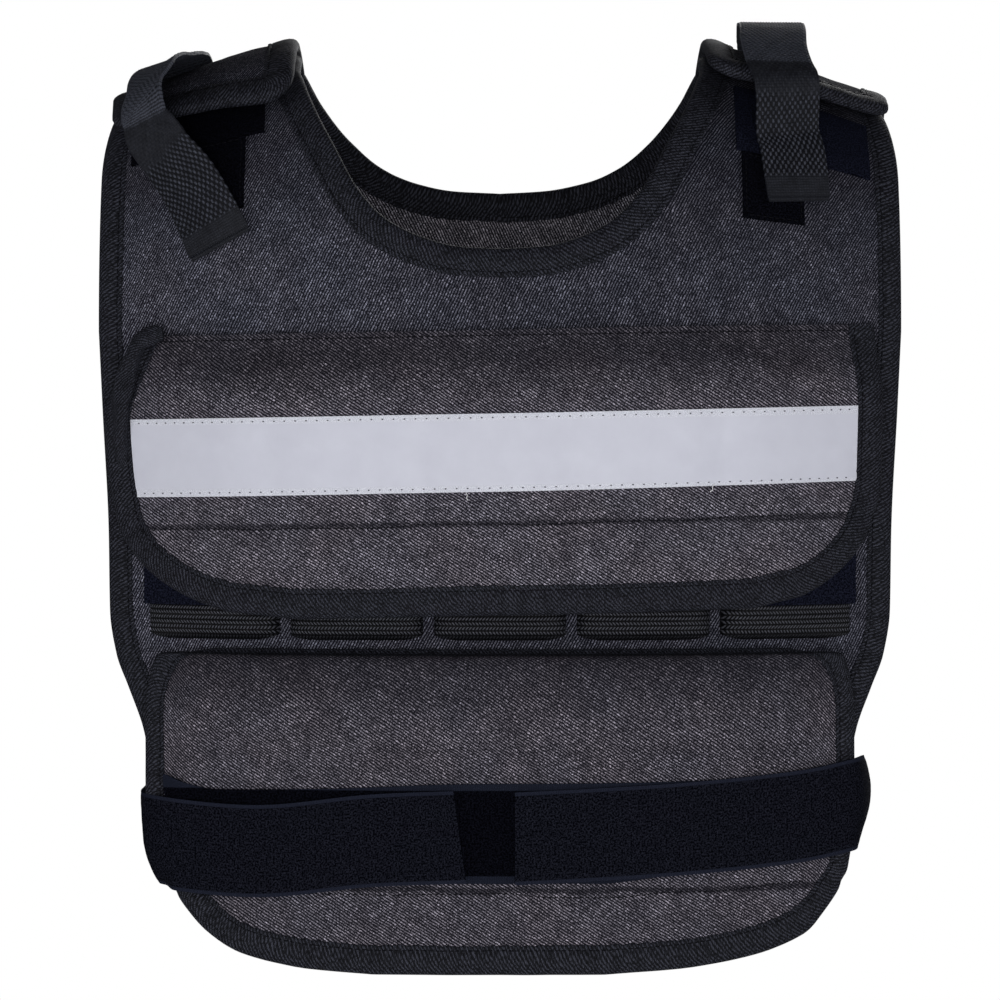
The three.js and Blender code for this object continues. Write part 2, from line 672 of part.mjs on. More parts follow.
// A level band of cells across a flap, with the flap's own columns.
function bandAcross(flapHalf, bandHalf, top, width) {
  const right = [...placesAcross(0, flapHalf, FLAP_COLUMNS).slice(0, -2), bandHalf];
  const xs = [...right.slice(1).map((x) => -x).reverse(), ...right];
  return new Pattern().grid([top + width, top].map((below) => xs.map((x) => [x, -below])));
}
const stripeLow = (x, p) => upperHigh(x, p) + CLEARANCE;
const stripeHigh = (x, p) => stripeLow(x, p) + STRIPE_THICKNESS;
const stripe = bandAcross(UPPER_FLAP_HALF_WIDTH, stripeHalf, STRIPE_TOP, STRIPE_WIDTH);
add("reflective_stripe", stripe.cloth(stripeLow, stripeHigh), silver);

// Elastic pockets, each with its weight inside
const pocketWidth = (2 * POCKET_ROW_HALF_WIDTH - (POCKET_COUNT - 1) * POCKET_GAP) / POCKET_COUNT;
for (let n = 0; n < POCKET_COUNT; n += 1) {
  const left = -POCKET_ROW_HALF_WIDTH + n * (pocketWidth + POCKET_GAP);
  const length = POCKET_BOTTOM - POCKET_TOP;
  const rows = [...POCKET_ROWS].reverse().map((share) =>
    POCKET_ROWS.map((across) => [left + across * pocketWidth, -(POCKET_TOP + share * length)]),
  );
  const high = (x, p) => {
    const across = Math.abs((2 * (x - left)) / pocketWidth - 1);
    const down = Math.abs((2 * (-p - POCKET_TOP)) / length - 1);
    const swell = Math.sqrt(1 - across ** 4) * Math.sqrt(1 - down ** 8);
    return blend(PILE_BASE + SEAM_THICKNESS, pocketOut(x), swell);
  };
  add(`weight_pocket_${n + 1}`, new Pattern().grid(rows).cloth(patchLow, high), elastic);
}

// Pile strip that closes the upper flap, laid over the pockets
const pileXs = spread(-PILE_STRIP_HALF_WIDTH, PILE_STRIP_HALF_WIDTH, 16);
const pileRows = [PILE_STRIP_TOP + PILE_STRIP_WIDTH, PILE_STRIP_TOP].map((below) =>
  pileXs.map((x) => [x, -below]),
);
add("upper_pile_strip", new Pattern().grid(pileRows).cloth(pileStripLow, pileStripHigh), pile);

// Lower flap: bound all round, swollen by the lower weights and drawn in by the belt
const lowerShare = (p) => (-p - LOWER_FLAP_TOP) / LOWER_FLAP_LENGTH;
const lowerLow = (x, p) => {
  const swell = read(LOWER_FLAP_SWELL, "down", "out", lowerShare(p));
  return LOWER_FLAP_LIE + LOWER_BULGE * swell * sideFall(x, LOWER_FLAP_HALF_WIDTH);
};
const lowerHigh = (x, p) => lowerLow(x, p) + FLAP_THICKNESS;
const lowerHalf = (share) => {
  const rounded = cornerHalf(LOWER_FLAP_HALF_WIDTH, LOWER_FLAP_CORNER, share * LOWER_FLAP_LENGTH);
  return rounded * read(LOWER_FLAP_OUTLINE, "down", "half", share);
};
const lowerRows = [...LOWER_FLAP_ROWS].reverse().map((share) => ({
  p: -(LOWER_FLAP_TOP + share * LOWER_FLAP_LENGTH),
  inner: 0,
  outer: lowerHalf(share),
  shares: FLAP_COLUMNS,
}));
add("lower_flap", panelPattern(lowerRows).cloth(lowerLow, lowerHigh), denim);

function lowerPath() {
  const bottom = outerPath(lowerRows);
  const topRow = lowerRows[lowerRows.length - 1];
  const top = cornersOf(topRow, 1).slice(1, -1);
  return [...bottom, ...top.map(([x, p]) => [-x, p]).reverse(), [0, topRow.p], ...top];
}
add("lower_flap_binding", binding(lowerPath(), lowerLow, lowerHigh, -1, true), tape);

// Lower row of weights in their pockets, hidden under the lower flap
const lowerRowHalf = LOWER_FLAP_HALF_WIDTH - LOWER_ROW_INSET;
const lowerRowXs = spread(-lowerRowHalf, lowerRowHalf, 10);
const lowerRowGrid = LOWER_ROW_ROWS.map((share) => {
  const p = -(LOWER_FLAP_TOP + share * LOWER_FLAP_LENGTH);
  return lowerRowXs.map((x) => [x, p]);
});
const lowerRowHigh = (x, p) => {
  const ends = smooth((lowerShare(p) - LOWER_ROW_START) / LOWER_ROW_RISE);
  return blend(PILE_BASE + SEAM_THICKNESS, lowerLow(x, p) - 3 * CLEARANCE, ends);
};
add("lower_weight_row", new Pattern().grid(lowerRowGrid).cloth(patchLow, lowerRowHigh), elastic);

// Loop pile patch that the belt closes on
const beltPatchHalf = LOWER_FLAP_HALF_WIDTH - BELT_PATCH_INSET;
const beltPatchWidth = BELT_WIDTH + 2 * BELT_PATCH_MARGIN;
const beltPatch = bandAcross(
  LOWER_FLAP_HALF_WIDTH,
  beltPatchHalf,
  BELT_TOP - BELT_PATCH_MARGIN,
  beltPatchWidth,
);
const beltPatchLow = (x, p) => lowerHigh(x, p) + CLEARANCE;
const beltPatchHigh = (x, p) => beltPatchLow(x, p) + PILE_THICKNESS;
add("belt_pile_patch", beltPatch.cloth(beltPatchLow, beltPatchHigh), pile);

// Belt tails: each is sewn behind, comes round the side and closes on the patch in front
const beltMiddle = BELT_TOP + BELT_WIDTH / 2;
const beltOut = LOWER_FLAP_LIE + FLAP_THICKNESS + WEDGE + CLEARANCE;
const beltBackOut = PANEL_THICKNESS + WEDGE + 2 * CLEARANCE;

// One place of a belt that lies on the form. upward is 1 in front and -1 behind.
function bandStation(x, p, outward, upward) {
  const { along, out } = formSlopes(x, p);
  const across = along.clone().normalize().multiplyScalar(upward);
  return { centre: place(x, p, outward), across, out };
}

function beltRoute(sign, frontEnd, sideOut, wave) {
  const reach = LOWER_FLAP_HALF_WIDTH;
  const beyond = (end) => (x) => x > end + BINDING_WIDTH / 2;
  const frontXs = placesAcross(0, reach, FLAP_COLUMNS).filter(beyond(frontEnd));
  const front = [frontEnd, ...frontXs, reach + 2 * WEDGE].map((x) => {
    const drop = read(wave, "across", "drop", x / reach) * BELT_WIDTH;
    return bandStation(sign * x, -(beltMiddle + drop), beltOut, 1);
  });
  const backEdge = panelHalfWidth(BELT_TOP);
  const backXs = placesAcross(0, backEdge).reverse().filter(beyond(BELT_BACK_END));
  const behind = [backEdge + 2 * WEDGE, ...backXs, BELT_BACK_END].map((x) =>
    bandStation(sign * x, BACK_CHEST + beltMiddle, beltBackOut, -1),
  );
  const from = front[front.length - 1].centre;
  const to = behind[0].centre;
  const endDrop = read(wave, "across", "drop", 1) * BELT_WIDTH;
  const round = spread(0, 1, 6).slice(1, -1).map((t) => {
    const bow = Math.sin(Math.PI * t) ** BELT_SIDE_SQUARENESS;
    const x = blend(blend(Math.abs(from.x), Math.abs(to.x), t), sideOut, bow);
    const z = -CHEST_DROP - beltMiddle - endDrop * (1 - smooth(t));
    const centre = new THREE.Vector3(sign * x, blend(from.y, to.y, t), z);
    const out = new THREE.Vector3(sign * bow, blend(-1, 1, t) * BELT_SIDE_TURN, 0).normalize();
    const across = new THREE.Vector3(sign * BELT_SIDE_LEAN * bow, 0, 1).normalize();
    return { centre, across, out };
  });
  return [...front, ...round, ...behind];
}
const leftBelt = beltRoute(-1, BELT_END_LEFT, BELT_SIDE_OUT_LEFT, LEFT_BELT_WAVE);
const rightBelt = beltRoute(1, BELT_END_RIGHT, BELT_SIDE_OUT_RIGHT, RIGHT_BELT_WAVE);
add("belt_left", band(leftBelt, BELT_WIDTH, BELT_THICKNESS), pile);
add("belt_right", band(rightBelt, BELT_WIDTH, BELT_THICKNESS), pile);

export default vest;
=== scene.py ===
# %% [markdown]
# # A weighted training vest in dark denim
# The real vest is pulled over the head and rests on both shoulders. Two bound denim flaps cover
# the weights in front, a silver stripe crosses the upper one, and a belt of loop pile closes on
# the lower one. This lesson dresses a plain solid model of that vest in cloth. The solid model,
# which we call the frame, gives every place and size, so nothing has to be fitted by eye.

# %% Load the frame
import math

import bpy
import numpy as np
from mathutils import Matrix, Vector


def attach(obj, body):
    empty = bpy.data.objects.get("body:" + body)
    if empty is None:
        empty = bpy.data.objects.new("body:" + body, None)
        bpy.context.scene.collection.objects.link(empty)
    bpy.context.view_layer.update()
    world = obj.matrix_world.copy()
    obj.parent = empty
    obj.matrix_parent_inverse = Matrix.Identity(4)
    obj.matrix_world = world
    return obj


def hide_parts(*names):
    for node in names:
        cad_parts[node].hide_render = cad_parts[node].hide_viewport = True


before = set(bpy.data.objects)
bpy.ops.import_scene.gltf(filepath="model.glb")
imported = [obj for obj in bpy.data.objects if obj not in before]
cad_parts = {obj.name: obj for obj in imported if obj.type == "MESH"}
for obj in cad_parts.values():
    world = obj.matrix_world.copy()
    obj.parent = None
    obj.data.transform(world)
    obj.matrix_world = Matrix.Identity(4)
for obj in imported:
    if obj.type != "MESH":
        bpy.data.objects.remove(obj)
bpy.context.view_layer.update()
bpy.ops.object.select_all(action="DESELECT")
print("frame nodes:", len(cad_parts))

# %% [markdown]
# ## The camera and the light
# The picture was taken level with the chest from about three metres, with a long lens. A white
# studio surrounds the vest, and broad soft lights stand in front of it, so that the black cloth
# shows its weave without hard shadows. The floor is far below, because the vest is held up.

# %% Camera
MM = 0.001
CAMERA_DISTANCE = 3.0
CAMERA_HEIGHT = -0.1717
AIM_HEIGHT = -0.2257
SENSOR_WIDTH = 36.0
VIEW_WIDTH = 0.54
CHEST_DEPTH = 0.11

bpy.ops.object.camera_add(location=(0, -CAMERA_DISTANCE, CAMERA_HEIGHT))
camera = bpy.context.object
aim = Vector((0, -CHEST_DEPTH, AIM_HEIGHT)) - camera.location
camera.rotation_euler = aim.to_track_quat("-Z", "Y").to_euler()
camera.data.sensor_width = SENSOR_WIDTH
camera.data.lens = SENSOR_WIDTH * (CAMERA_DISTANCE - CHEST_DEPTH) / VIEW_WIDTH
bpy.context.scene.camera = camera
bpy.context.scene.view_settings.view_transform = "Standard"
print("lens:", round(camera.data.lens, 1), "mm")

# %% Soft lights
FRONT_LIGHT_WATTS = 60
SIDE_LIGHT_WATTS = 20
BACK_LIGHT_WATTS = 60


def soft_light(name, place, target, size, watts):
    bpy.ops.object.light_add(type="AREA", location=place)
    light = bpy.context.object
    light.name = name
    light.rotation_euler = (Vector(target) - Vector(place)).to_track_quat("-Z", "Y").to_euler()
    light.data.shape = "SQUARE"
    light.data.size = size
    light.data.energy = watts


vest_middle = (0, 0, AIM_HEIGHT)
soft_light("front_light", (-0.02, -3.2, -0.55), vest_middle, 1.5, FRONT_LIGHT_WATTS)
soft_light("left_light", (-2.6, -1.4, 0.3), vest_middle, 1.4, SIDE_LIGHT_WATTS)
soft_light("right_light", (2.6, -1.4, 0.3), vest_middle, 1.4, SIDE_LIGHT_WATTS)
soft_light("back_light", (0.8, 3.0, 0.8), vest_middle, 2.0, BACK_LIGHT_WATTS)
print("lights: 4")

# %% White studio and pale floor
STUDIO_FILL = 0.10
FLOOR_HEIGHT = -1.35
FLOOR_SIZE = 14

world = bpy.data.worlds.new("studio")
bpy.context.scene.world = world
world.use_nodes = True
tree = world.node_tree
background = tree.nodes["Background"]
background.inputs["Color"].default_value = (1, 1, 1, 1)
paths = tree.nodes.new("ShaderNodeLightPath")
seen = tree.nodes.new("ShaderNodeMix")
seen.inputs["A"].default_value = STUDIO_FILL
seen.inputs["B"].default_value = 1.0
tree.links.new(paths.outputs["Is Camera Ray"], seen.inputs["Factor"])
tree.links.new(seen.outputs["Result"], background.inputs["Strength"])

bpy.ops.mesh.primitive_plane_add(size=FLOOR_SIZE, location=(0, 0, FLOOR_HEIGHT))
floor = bpy.context.object
floor.name = "studio_floor"
floor_paint = bpy.data.materials.new("pale_floor")
floor_paint.use_nodes = True
floor_paint.node_tree.nodes["Principled BSDF"].inputs["Base Color"].default_value = (0.9, 0.9, 0.9, 1)
floor_paint.node_tree.nodes["Principled BSDF"].inputs["Roughness"].default_value = 0.9
floor.data.materials.append(floor_paint)
print("floor at", FLOOR_HEIGHT)

# %% [markdown]
# ## The form that the cloth lies on
# A vest is cut flat and worn round a body. We keep both views of it: a place on the cloth is
# x, across, and p, along, both in millimetres. Below the chest line in front p is negative. From
# 0 to BACK_CHEST it runs over the shoulders, and beyond that it runs down the back. One function
# lays such a place on the torso, and every piece below uses it.

# %% Sizes, in millimetres, as in the solid model
HALF_WIDTH = 218
FRONT_DEPTH = 118
BACK_DEPTH = 112
SIDE_SWEEP = 52
SWEEP_POWER = 2.6
WAIST_TUCK = 8
CHEST_DROP = 134
CREST_RISE_AT_NECK = 16
CREST_DROP_AT_ARM = 19.6
NECK_HALF_WIDTH = 110
FRONT_NECK_DEPTH = 107
BACK_NECK_DEPTH = 70
BODY_LENGTH = 339
PANEL_THICKNESS = 4
FLAP_THICKNESS = 2.5
WEDGE = 2.2
BINDING_WIDTH = 13.5
QUARTER = math.pi / 4 * (FRONT_DEPTH + CHEST_DROP + CREST_RISE_AT_NECK)
BACK_CHEST = 2 * QUARTER
CLOTH_EDGE = HALF_WIDTH - WEDGE
NECK_EDGE = NECK_HALF_WIDTH + WEDGE
print("quarter of the shoulder dome:", round(QUARTER, 1), "mm")


# %% Laying cloth on the form
def clamp(t):
    return np.clip(t, 0.0, 1.0)


def smooth(t):
    return clamp(t) ** 2 * (3 - 2 * clamp(t))


def blend(a, b, t):
    return a + (b - a) * t


def crest_height(x):
    reach = (x**2 - NECK_HALF_WIDTH**2) / (HALF_WIDTH**2 - NECK_HALF_WIDTH**2)
    return CREST_RISE_AT_NECK - (CREST_RISE_AT_NECK + CREST_DROP_AT_ARM) * reach


def form_point(x, p):
    x, p = np.broadcast_arrays(np.asarray(x, float), np.asarray(p, float))
    sweep = SIDE_SWEEP * (np.abs(x) / HALF_WIDTH) ** SWEEP_POWER
    angle = math.pi / 2 * np.clip(p / QUARTER, 0, 2)
    below = np.where(p < 0, -p, np.maximum(0, p - BACK_CHEST))
    full_depth = np.where(p < QUARTER, FRONT_DEPTH, BACK_DEPTH)
    depth = full_depth - sweep - WAIST_TUCK * (below / BODY_LENGTH) ** 2
    height = (crest_height(x) + CHEST_DROP) * np.sin(angle) - CHEST_DROP - below
    return np.stack([x, -depth * np.cos(angle), height], axis=-1)


def unit(vectors):
    return vectors / np.maximum(np.linalg.norm(vectors, axis=-1, keepdims=True), 1e-9)


def form_slopes(x, p):
    step = 0.5
    across = (form_point(x + step, p) - form_point(x - step, p)) / (2 * step)
    along = (form_point(x, p + step) - form_point(x, p - step)) / (2 * step)
    return across, along, unit(np.cross(across, along))


def place(x, p, out):
    x, p, out = np.broadcast_arrays(np.asarray(x, float), np.asarray(p, float), out)
    return form_point(x, p) + form_slopes(x, p)[2] * out[..., None]


def along_at_height(x, z, behind):
    angle = np.arcsin(clamp((z + CHEST_DROP) / (crest_height(x) + CHEST_DROP)))
    along = angle / (math.pi / 2) * QUARTER
    return BACK_CHEST - along if behind else along


print("chest middle:", place(0, 0, 0).round(1))

# %% [markdown]
# Two small tools shape outlines and wrinkles. A curve runs smoothly through the rows of a short
# table, and never swings past them. Wrinkles come from soft noise on the cloth's own places, with
# a fixed seed, so that the vest is the same each time it is made.


# %% Curves and wrinkles
class Curve:
    def __init__(self, *rows):
        self.at, self.value = np.array(sorted(rows), float).T
        rate = np.diff(self.value) / np.diff(self.at)
        before = np.concatenate([rate[:1], rate])
        after = np.concatenate([rate, rate[-1:]])
        agree = before * after > 0
        total = np.where(agree, before + after, 1)
        self.slope = np.where(agree, 2 * before * after / total, 0)

    def __call__(self, place_on):
        t = np.clip(place_on, self.at[0], self.at[-1])
        i = np.clip(np.searchsorted(self.at, t, side="right") - 1, 0, len(self.at) - 2)
        span = self.at[i + 1] - self.at[i]
        t = (t - self.at[i]) / span
        rise = blend(self.value[i], self.value[i + 1], 3 * t**2 - 2 * t**3)
        leaving = (t**3 - 2 * t**2 + t) * span * self.slope[i]
        arriving = (t**3 - t**2) * span * self.slope[i + 1]
        return rise + leaving + arriving


LATTICE = 256


def noise(x, p, width, length, seed):
    lattice = np.random.default_rng(seed).uniform(-1, 1, (LATTICE, LATTICE))
    gx, gp = np.broadcast_arrays(x / width + LATTICE / 2, p / length + LATTICE / 2)
    i, j = np.floor(gx).astype(int), np.floor(gp).astype(int)
    f, g = smooth(gx - i), smooth(gp - j)
    pick = lambda a, b: lattice[(i + a) % LATTICE, (j + b) % LATTICE]
    return blend(blend(pick(0, 0), pick(1, 0), f), blend(pick(0, 1), pick(1, 1), f), g)


def groove(distance, width):
    return -np.exp(-((distance / width) ** 2))


def through(rows, count):
    """Smooth values through the rows of a table, at evenly spread places."""
    rows = np.array(rows, float)
    at = np.arange(len(rows))
    t = np.linspace(0, len(rows) - 1, count)
    return [Curve(*zip(at, rows[:, k]))(t) for k in range(rows.shape[1])]


def steps_between(points):
    return np.linalg.norm(np.diff(points, axis=0), axis=1)


def run_along(points):
    """How far along a line each of its points lies."""
    return np.concatenate([[0], np.cumsum(steps_between(points))])


print("noise sample:", round(float(noise(3.0, 4.0, 10, 10, 1)), 3))

# %% [markdown]
# Twill lines, ribs and stitches have to keep their true scale where the cloth bends back at the
# sides. So each piece gets a UV map in millimetres of cloth: how far a place lies across the
# cloth, measured round the bend, and how far along it.

# %% Building meshes with a map in millimetres of cloth
ACROSS = np.linspace(0, 1.2 * HALF_WIDTH, 600)
BEND = SIDE_SWEEP * SWEEP_POWER / HALF_WIDTH * (ACROSS / HALF_WIDTH) ** (SWEEP_POWER - 1)
ROUND_BEND = np.concatenate([[0], np.cumsum(np.sqrt(1 + BEND[1:] ** 2) * np.diff(ACROSS))])


def cloth_across(x):
    return np.sign(x) * np.interp(np.abs(x), ACROSS, ROUND_BEND)


def select_only(piece):
    bpy.ops.object.select_all(action="DESELECT")
    piece.select_set(True)
    bpy.context.view_layer.objects.active = piece


def piece_from(name, points, faces, corners):
    mesh = bpy.data.meshes.new(name)
    mesh.from_pydata((points * MM).tolist(), [], faces)
    mesh.uv_layers.new(name="cloth").data.foreach_set("uv", np.asarray(corners, float).ravel())
    piece = bpy.data.objects.new(name, mesh)
    bpy.context.scene.collection.objects.link(piece)
    select_only(piece)
    return piece


def round_off(piece, angle=50):
    select_only(piece)
    bpy.ops.object.shade_smooth_by_angle(angle=math.radians(angle))


def face_outward():
    bpy.ops.object.mode_set(mode="EDIT")
    bpy.ops.mesh.select_all(action="SELECT")
    bpy.ops.mesh.normals_make_consistent(inside=False)
    bpy.ops.object.mode_set(mode="OBJECT")


def thicken(piece, thickness):
    wall = piece.modifiers.new("wall", "SOLIDIFY")
    wall.thickness = thickness * MM
    wall.offset = -1
    wall.use_rim = True
    bpy.ops.object.modifier_apply(modifier=wall.name)


def joined_grids(grids):
    """One list of places and faces from several grids, which meet where their places agree."""
    places, faces = [], []
    start = 0
    for xs, ps in grids:
        index = start + np.arange(xs.size).reshape(xs.shape)
        quad = [index[:-1, :-1], index[:-1, 1:], index[1:, 1:], index[1:, :-1]]
        turned = (xs[0, -1] - xs[0, 0]) * (ps[-1, 0] - ps[0, 0]) < 0
        faces.append(np.stack(quad[::-1] if turned else quad, axis=-1).reshape(-1, 4))
        places.append(np.stack([xs, ps], axis=-1).reshape(-1, 2))
        start += xs.size
    places, faces = np.concatenate(places), np.concatenate(faces)
    _, first, again = np.unique(places.round(3), axis=0, return_index=True, return_inverse=True)
    return places[first], again.ravel()[faces]


def cloth_piece(name, grids, outside, thickness, lay=place):
    places, faces = joined_grids(grids)
    x, p = places.T
    points = lay(x, p, outside(x, p))
    flat = np.stack([cloth_across(x), p], axis=-1)
    piece = piece_from(name, points, faces.tolist(), flat[faces])
    thicken(piece, thickness)
    round_off(piece)
    return piece


def shift_map(piece, middle, tilt=0.0):
    """Turns a tape's map so that across is measured from the middle of its width."""
    uv = piece.data.uv_layers["cloth"].data
    flat = np.zeros(len(uv) * 2)
    uv.foreach_get("uv", flat)
    flat = flat.reshape(-1, 2)
    turned = np.stack([flat[:, 1] - tilt * flat[:, 0] + middle, flat[:, 0]], axis=-1)
    uv.foreach_set("uv", turned.ravel())


def loft_piece(name, sections, along, around, looped=False):
    """A skin through closed sections, capped at both ends unless it is looped."""
    runs, size = sections.shape[:2]
    last = runs if looped else runs - 1
    s, k = np.meshgrid(np.arange(last), np.arange(size), indexing="ij")
    at = lambda a, b: ((s + a) % runs * size + (k + b) % size).ravel()
    faces = np.stack([at(0, 0), at(1, 0), at(1, 1), at(0, 1)], axis=-1)
    spot = lambda a, b: np.stack([around[k + b], along[s + a]], axis=-1).reshape(-1, 2)
    corners = np.stack([spot(0, 0), spot(1, 0), spot(1, 1), spot(0, 1)], axis=1).reshape(-1, 2)
    faces, corners = faces.tolist(), corners.tolist()
    if not looped:
        first, end = list(range(size)), [last * size + i for i in range(size)]
        faces += [first, end[::-1]]
        corners += [[around[i], along[0]] for i in range(size)]
        corners += [[around[i], along[-1]] for i in range(size)][::-1]
    piece = piece_from(name, sections.reshape(-1, 3), faces, corners)
    face_outward()
    round_off(piece, 60)
    return piece


print("cloth round the bend at the side:", cloth_across(HALF_WIDTH).round(1), "mm")

# %% [markdown]
# ## Shader maths as plain expressions
# A weave is arithmetic on the cloth map: ribs are a wave across it, yarns are cells along it. The
# small class below wraps a shader socket, so that such a pattern is written as an expression, and
# each operator adds its Math node.


# %% The socket class
def operator(operation, swapped=False):
    """A method that adds one Math node, for a sign such as + or *."""
    if swapped:
        return lambda self, other: self.math(operation, other, self)
    return lambda self, other: self.math(operation, self, other)


class Value:
    def __init__(self, tree, socket):
        self.tree, self.socket = tree, socket

    def node(self, kind, settings=None, **inputs):
        made = self.tree.nodes.new(kind)
        for key, value in (settings or {}).items():
            setattr(made, key, value)
        for key, value in inputs.items():
            slot = made.inputs[int(key[1:]) if key[1:].isdigit() else key.replace("_", " ")]
            if isinstance(value, Value):
                self.tree.links.new(value.socket, slot)
            else:
                slot.default_value = value
        return made

    def math(self, operation, *values):
        inputs = {f"i{n}": value for n, value in enumerate(values)}
        made = self.node("ShaderNodeMath", {"operation": operation}, **inputs)
        return Value(self.tree, made.outputs[0])

    __add__, __radd__ = operator("ADD"), operator("ADD", swapped=True)
    __sub__, __rsub__ = operator("SUBTRACT"), operator("SUBTRACT", swapped=True)
    __mul__, __rmul__ = operator("MULTIPLY"), operator("MULTIPLY", swapped=True)
    __truediv__ = operator("DIVIDE")

    def wave(self):
        return 0.5 + 0.5 * self.math("SINE", self * (2 * math.pi))

    def floor(self):
        return self.math("FLOOR", self)

    def part(self):
        return self.math("FRACT", self)

    def size(self):
        return self.math("ABSOLUTE", self)

    def above(self, edge, softness):
        low, high = edge - softness / 2, edge + softness / 2
        settings = {"interpolation_type": "SMOOTHSTEP"}
        made = self.node("ShaderNodeMapRange", settings, Value=self, From_Min=low, From_Max=high)
        return Value(self.tree, made.outputs["Result"])

    def mix(self, dark, light):
        made = self.node("ShaderNodeMix", {"data_type": "RGBA"}, Factor=self)
        for slot, colour in ((made.inputs[6], dark), (made.inputs[7], light)):
            if isinstance(colour, Value):
                self.tree.links.new(colour.socket, slot)
            else:
                slot.default_value = (*colour, 1)
        return Value(self.tree, made.outputs[2])


class Finish:
    """A cloth material, with the cloth's map in millimetres as across and along."""

    def __init__(self, name, roughness, specular=0.03):
        self.material = bpy.data.materials.new(name)
        self.material.use_nodes = True
        self.tree = self.material.node_tree
        self.shader = self.tree.nodes["Principled BSDF"]
        self.shader.inputs["Roughness"].default_value = roughness
        self.shader.inputs["Specular IOR Level"].default_value = specular
        base = Value(self.tree, None)
        cloth_map = base.node("ShaderNodeUVMap", {"uv_map": "cloth"})
        parts = base.node("ShaderNodeSeparateXYZ", Vector=Value(self.tree, cloth_map.outputs[0]))
        self.across = Value(self.tree, parts.outputs[0])
        self.along = Value(self.tree, parts.outputs[1])

    def spot(self, across, along):
        made = self.across.node("ShaderNodeCombineXYZ", X=across, Y=along)
        return Value(self.tree, made.outputs[0])

    def noise(self, size, detail=2.0):
        inputs = {"Vector": self.spot(self.across, self.along), "Scale": 1 / size, "Detail": detail}
        made = self.across.node("ShaderNodeTexNoise", {"noise_dimensions": "2D"}, **inputs)
        return Value(self.tree, made.outputs[0])

    def chance(self, across, along):
        inputs = {"Vector": self.spot(across, along)}
        made = self.across.node("ShaderNodeTexWhiteNoise", {"noise_dimensions": "2D"}, **inputs)
        return Value(self.tree, made.outputs[0])

    def use(self, colour, height=None, depth=0.2):
        link = self.tree.links.new
        link(colour.socket, self.shader.inputs["Base Color"])
        if height is not None:
            bump = height.node("ShaderNodeBump", Height=height, Distance=depth * MM, Strength=1.0)
            link(bump.outputs[0], self.shader.inputs["Normal"])
        return self.material


print("socket class ready")

# %% [markdown]
# ## Denim
# Denim is a twill: dark warp yarns float over pale weft yarns, and each row of floats is moved on
# by one yarn, which draws steep diagonal lines. The pale weft shows between them as short dashes
# of uneven brightness. So the pattern has ribs at an angle, each cut into dashes, and every dash
# gets its own random brightness. The body's cloth leans one way, and the flaps' cloth, which is
# laid crosswise, leans the other way and less steeply.

# %% Denim finishes, with painted shade on the shoulders, over the flaps' tops and along the flaps' seams, which show as dark lines
TWILL_PITCH = 1.42
DASH_LENGTH = 1.6
FLAP_TILT = 0.017
HOOK_SEAM = 104
LOWER_FLAP_TOP = 175.5
LOWER_SEAM = 128


def denim(name, lean, dark, pale, gain, wear_and_shade=None):
    """lean is the angle of the twill lines above the horizontal, in degrees."""
    cloth = Finish(name, roughness=0.9)
    c, s = math.cos(math.radians(lean)), math.sin(math.radians(lean))
    wander = cloth.noise(6.0) * 0.7
    ribs = (cloth.along * c - cloth.across * s) / TWILL_PITCH + wander
    row = ribs.floor()
    runs = (cloth.across * c + cloth.along * s) / DASH_LENGTH + cloth.chance(row, 3.0) * 9.0
    lot = cloth.chance(row, runs.floor())
    gap = (runs.part() - 0.5).size().above(0.38, 0.24)
    rib = (ribs.part() - 0.5).size().above(0.24, 0.3)
    weft = (1 - rib) * (1 - gap * 0.5)
    glint = cloth.noise(0.5, 2.0).above(0.62, 0.2)
    bright = 0.4 + 0.65 * lot + 0.5 * lot.above(0.93, 0.1) + 0.9 * glint
    mottle = 0.5 + 1.0 * cloth.noise(13.0, 5.0)
    fuzz = 0.05 + 1.9 * cloth.noise(0.85, 2.0).above(0.5, 0.55)
    show = weft * bright * mottle * fuzz * gain
    # The optional pattern darkens the weft with painted shade, on the shoulders and the flaps.
    if wear_and_shade:
        show = show * wear_and_shade(cloth)
    tint = cloth.noise(40.0).above(0.5, 0.5)
    warm = tint.mix(pale, (pale[0] * 1.05, pale[1] * 1.0, pale[2] * 0.97))
    colour = show.mix(dark, warm)
    height = weft * 0.4 + rib * 0.8 + cloth.noise(0.5, 1.0) * 0.4
    return cloth.use(colour, height, depth=0.3)


def body_shade_and_tone(cloth):
    """Painted shade up on the shoulders, under the tongues, and darker towards the right."""
    high = (cloth.along - 60 + cloth.noise(30.0) * 30 - 15).above(0.0, 80.0)
    aside = (cloth.across + 60).above(0.0, 120.0)
    return (1.0 - 0.45 * high) * (1 - 0.26 * aside)


def upper_flap_shade(cloth):
    """Painted shade along the top seam, and a line of painted shade in the crease where the hook strip is
    sewn on.
    """
    below = cloth.across * FLAP_TILT - cloth.along + cloth.noise(30.0, 3.0) * 14 - 7
    seam = cloth.across * FLAP_TILT - cloth.along - HOOK_SEAM + cloth.noise(9.0) * 1.5
    seam = seam.size().above(1.6, 1.8)
    return (0.42 + 0.58 * below.above(24.0, 26.0)) * (0.35 + 0.65 * seam)


def lower_flap_shade(cloth):
    """Painted shade over the rolled top, and along the crease of the wavy seam above the hem."""
    below = cloth.along * -1 - LOWER_FLAP_TOP
    top = (below + cloth.noise(22.0, 3.0) * 12 - 6).above(20.0, 52.0)
    seam = (below - LOWER_SEAM + cloth.noise(26.0) * 5).size().above(1.7, 1.8)
    return (0.26 + 0.76 * top) * (0.3 + 0.7 * seam)


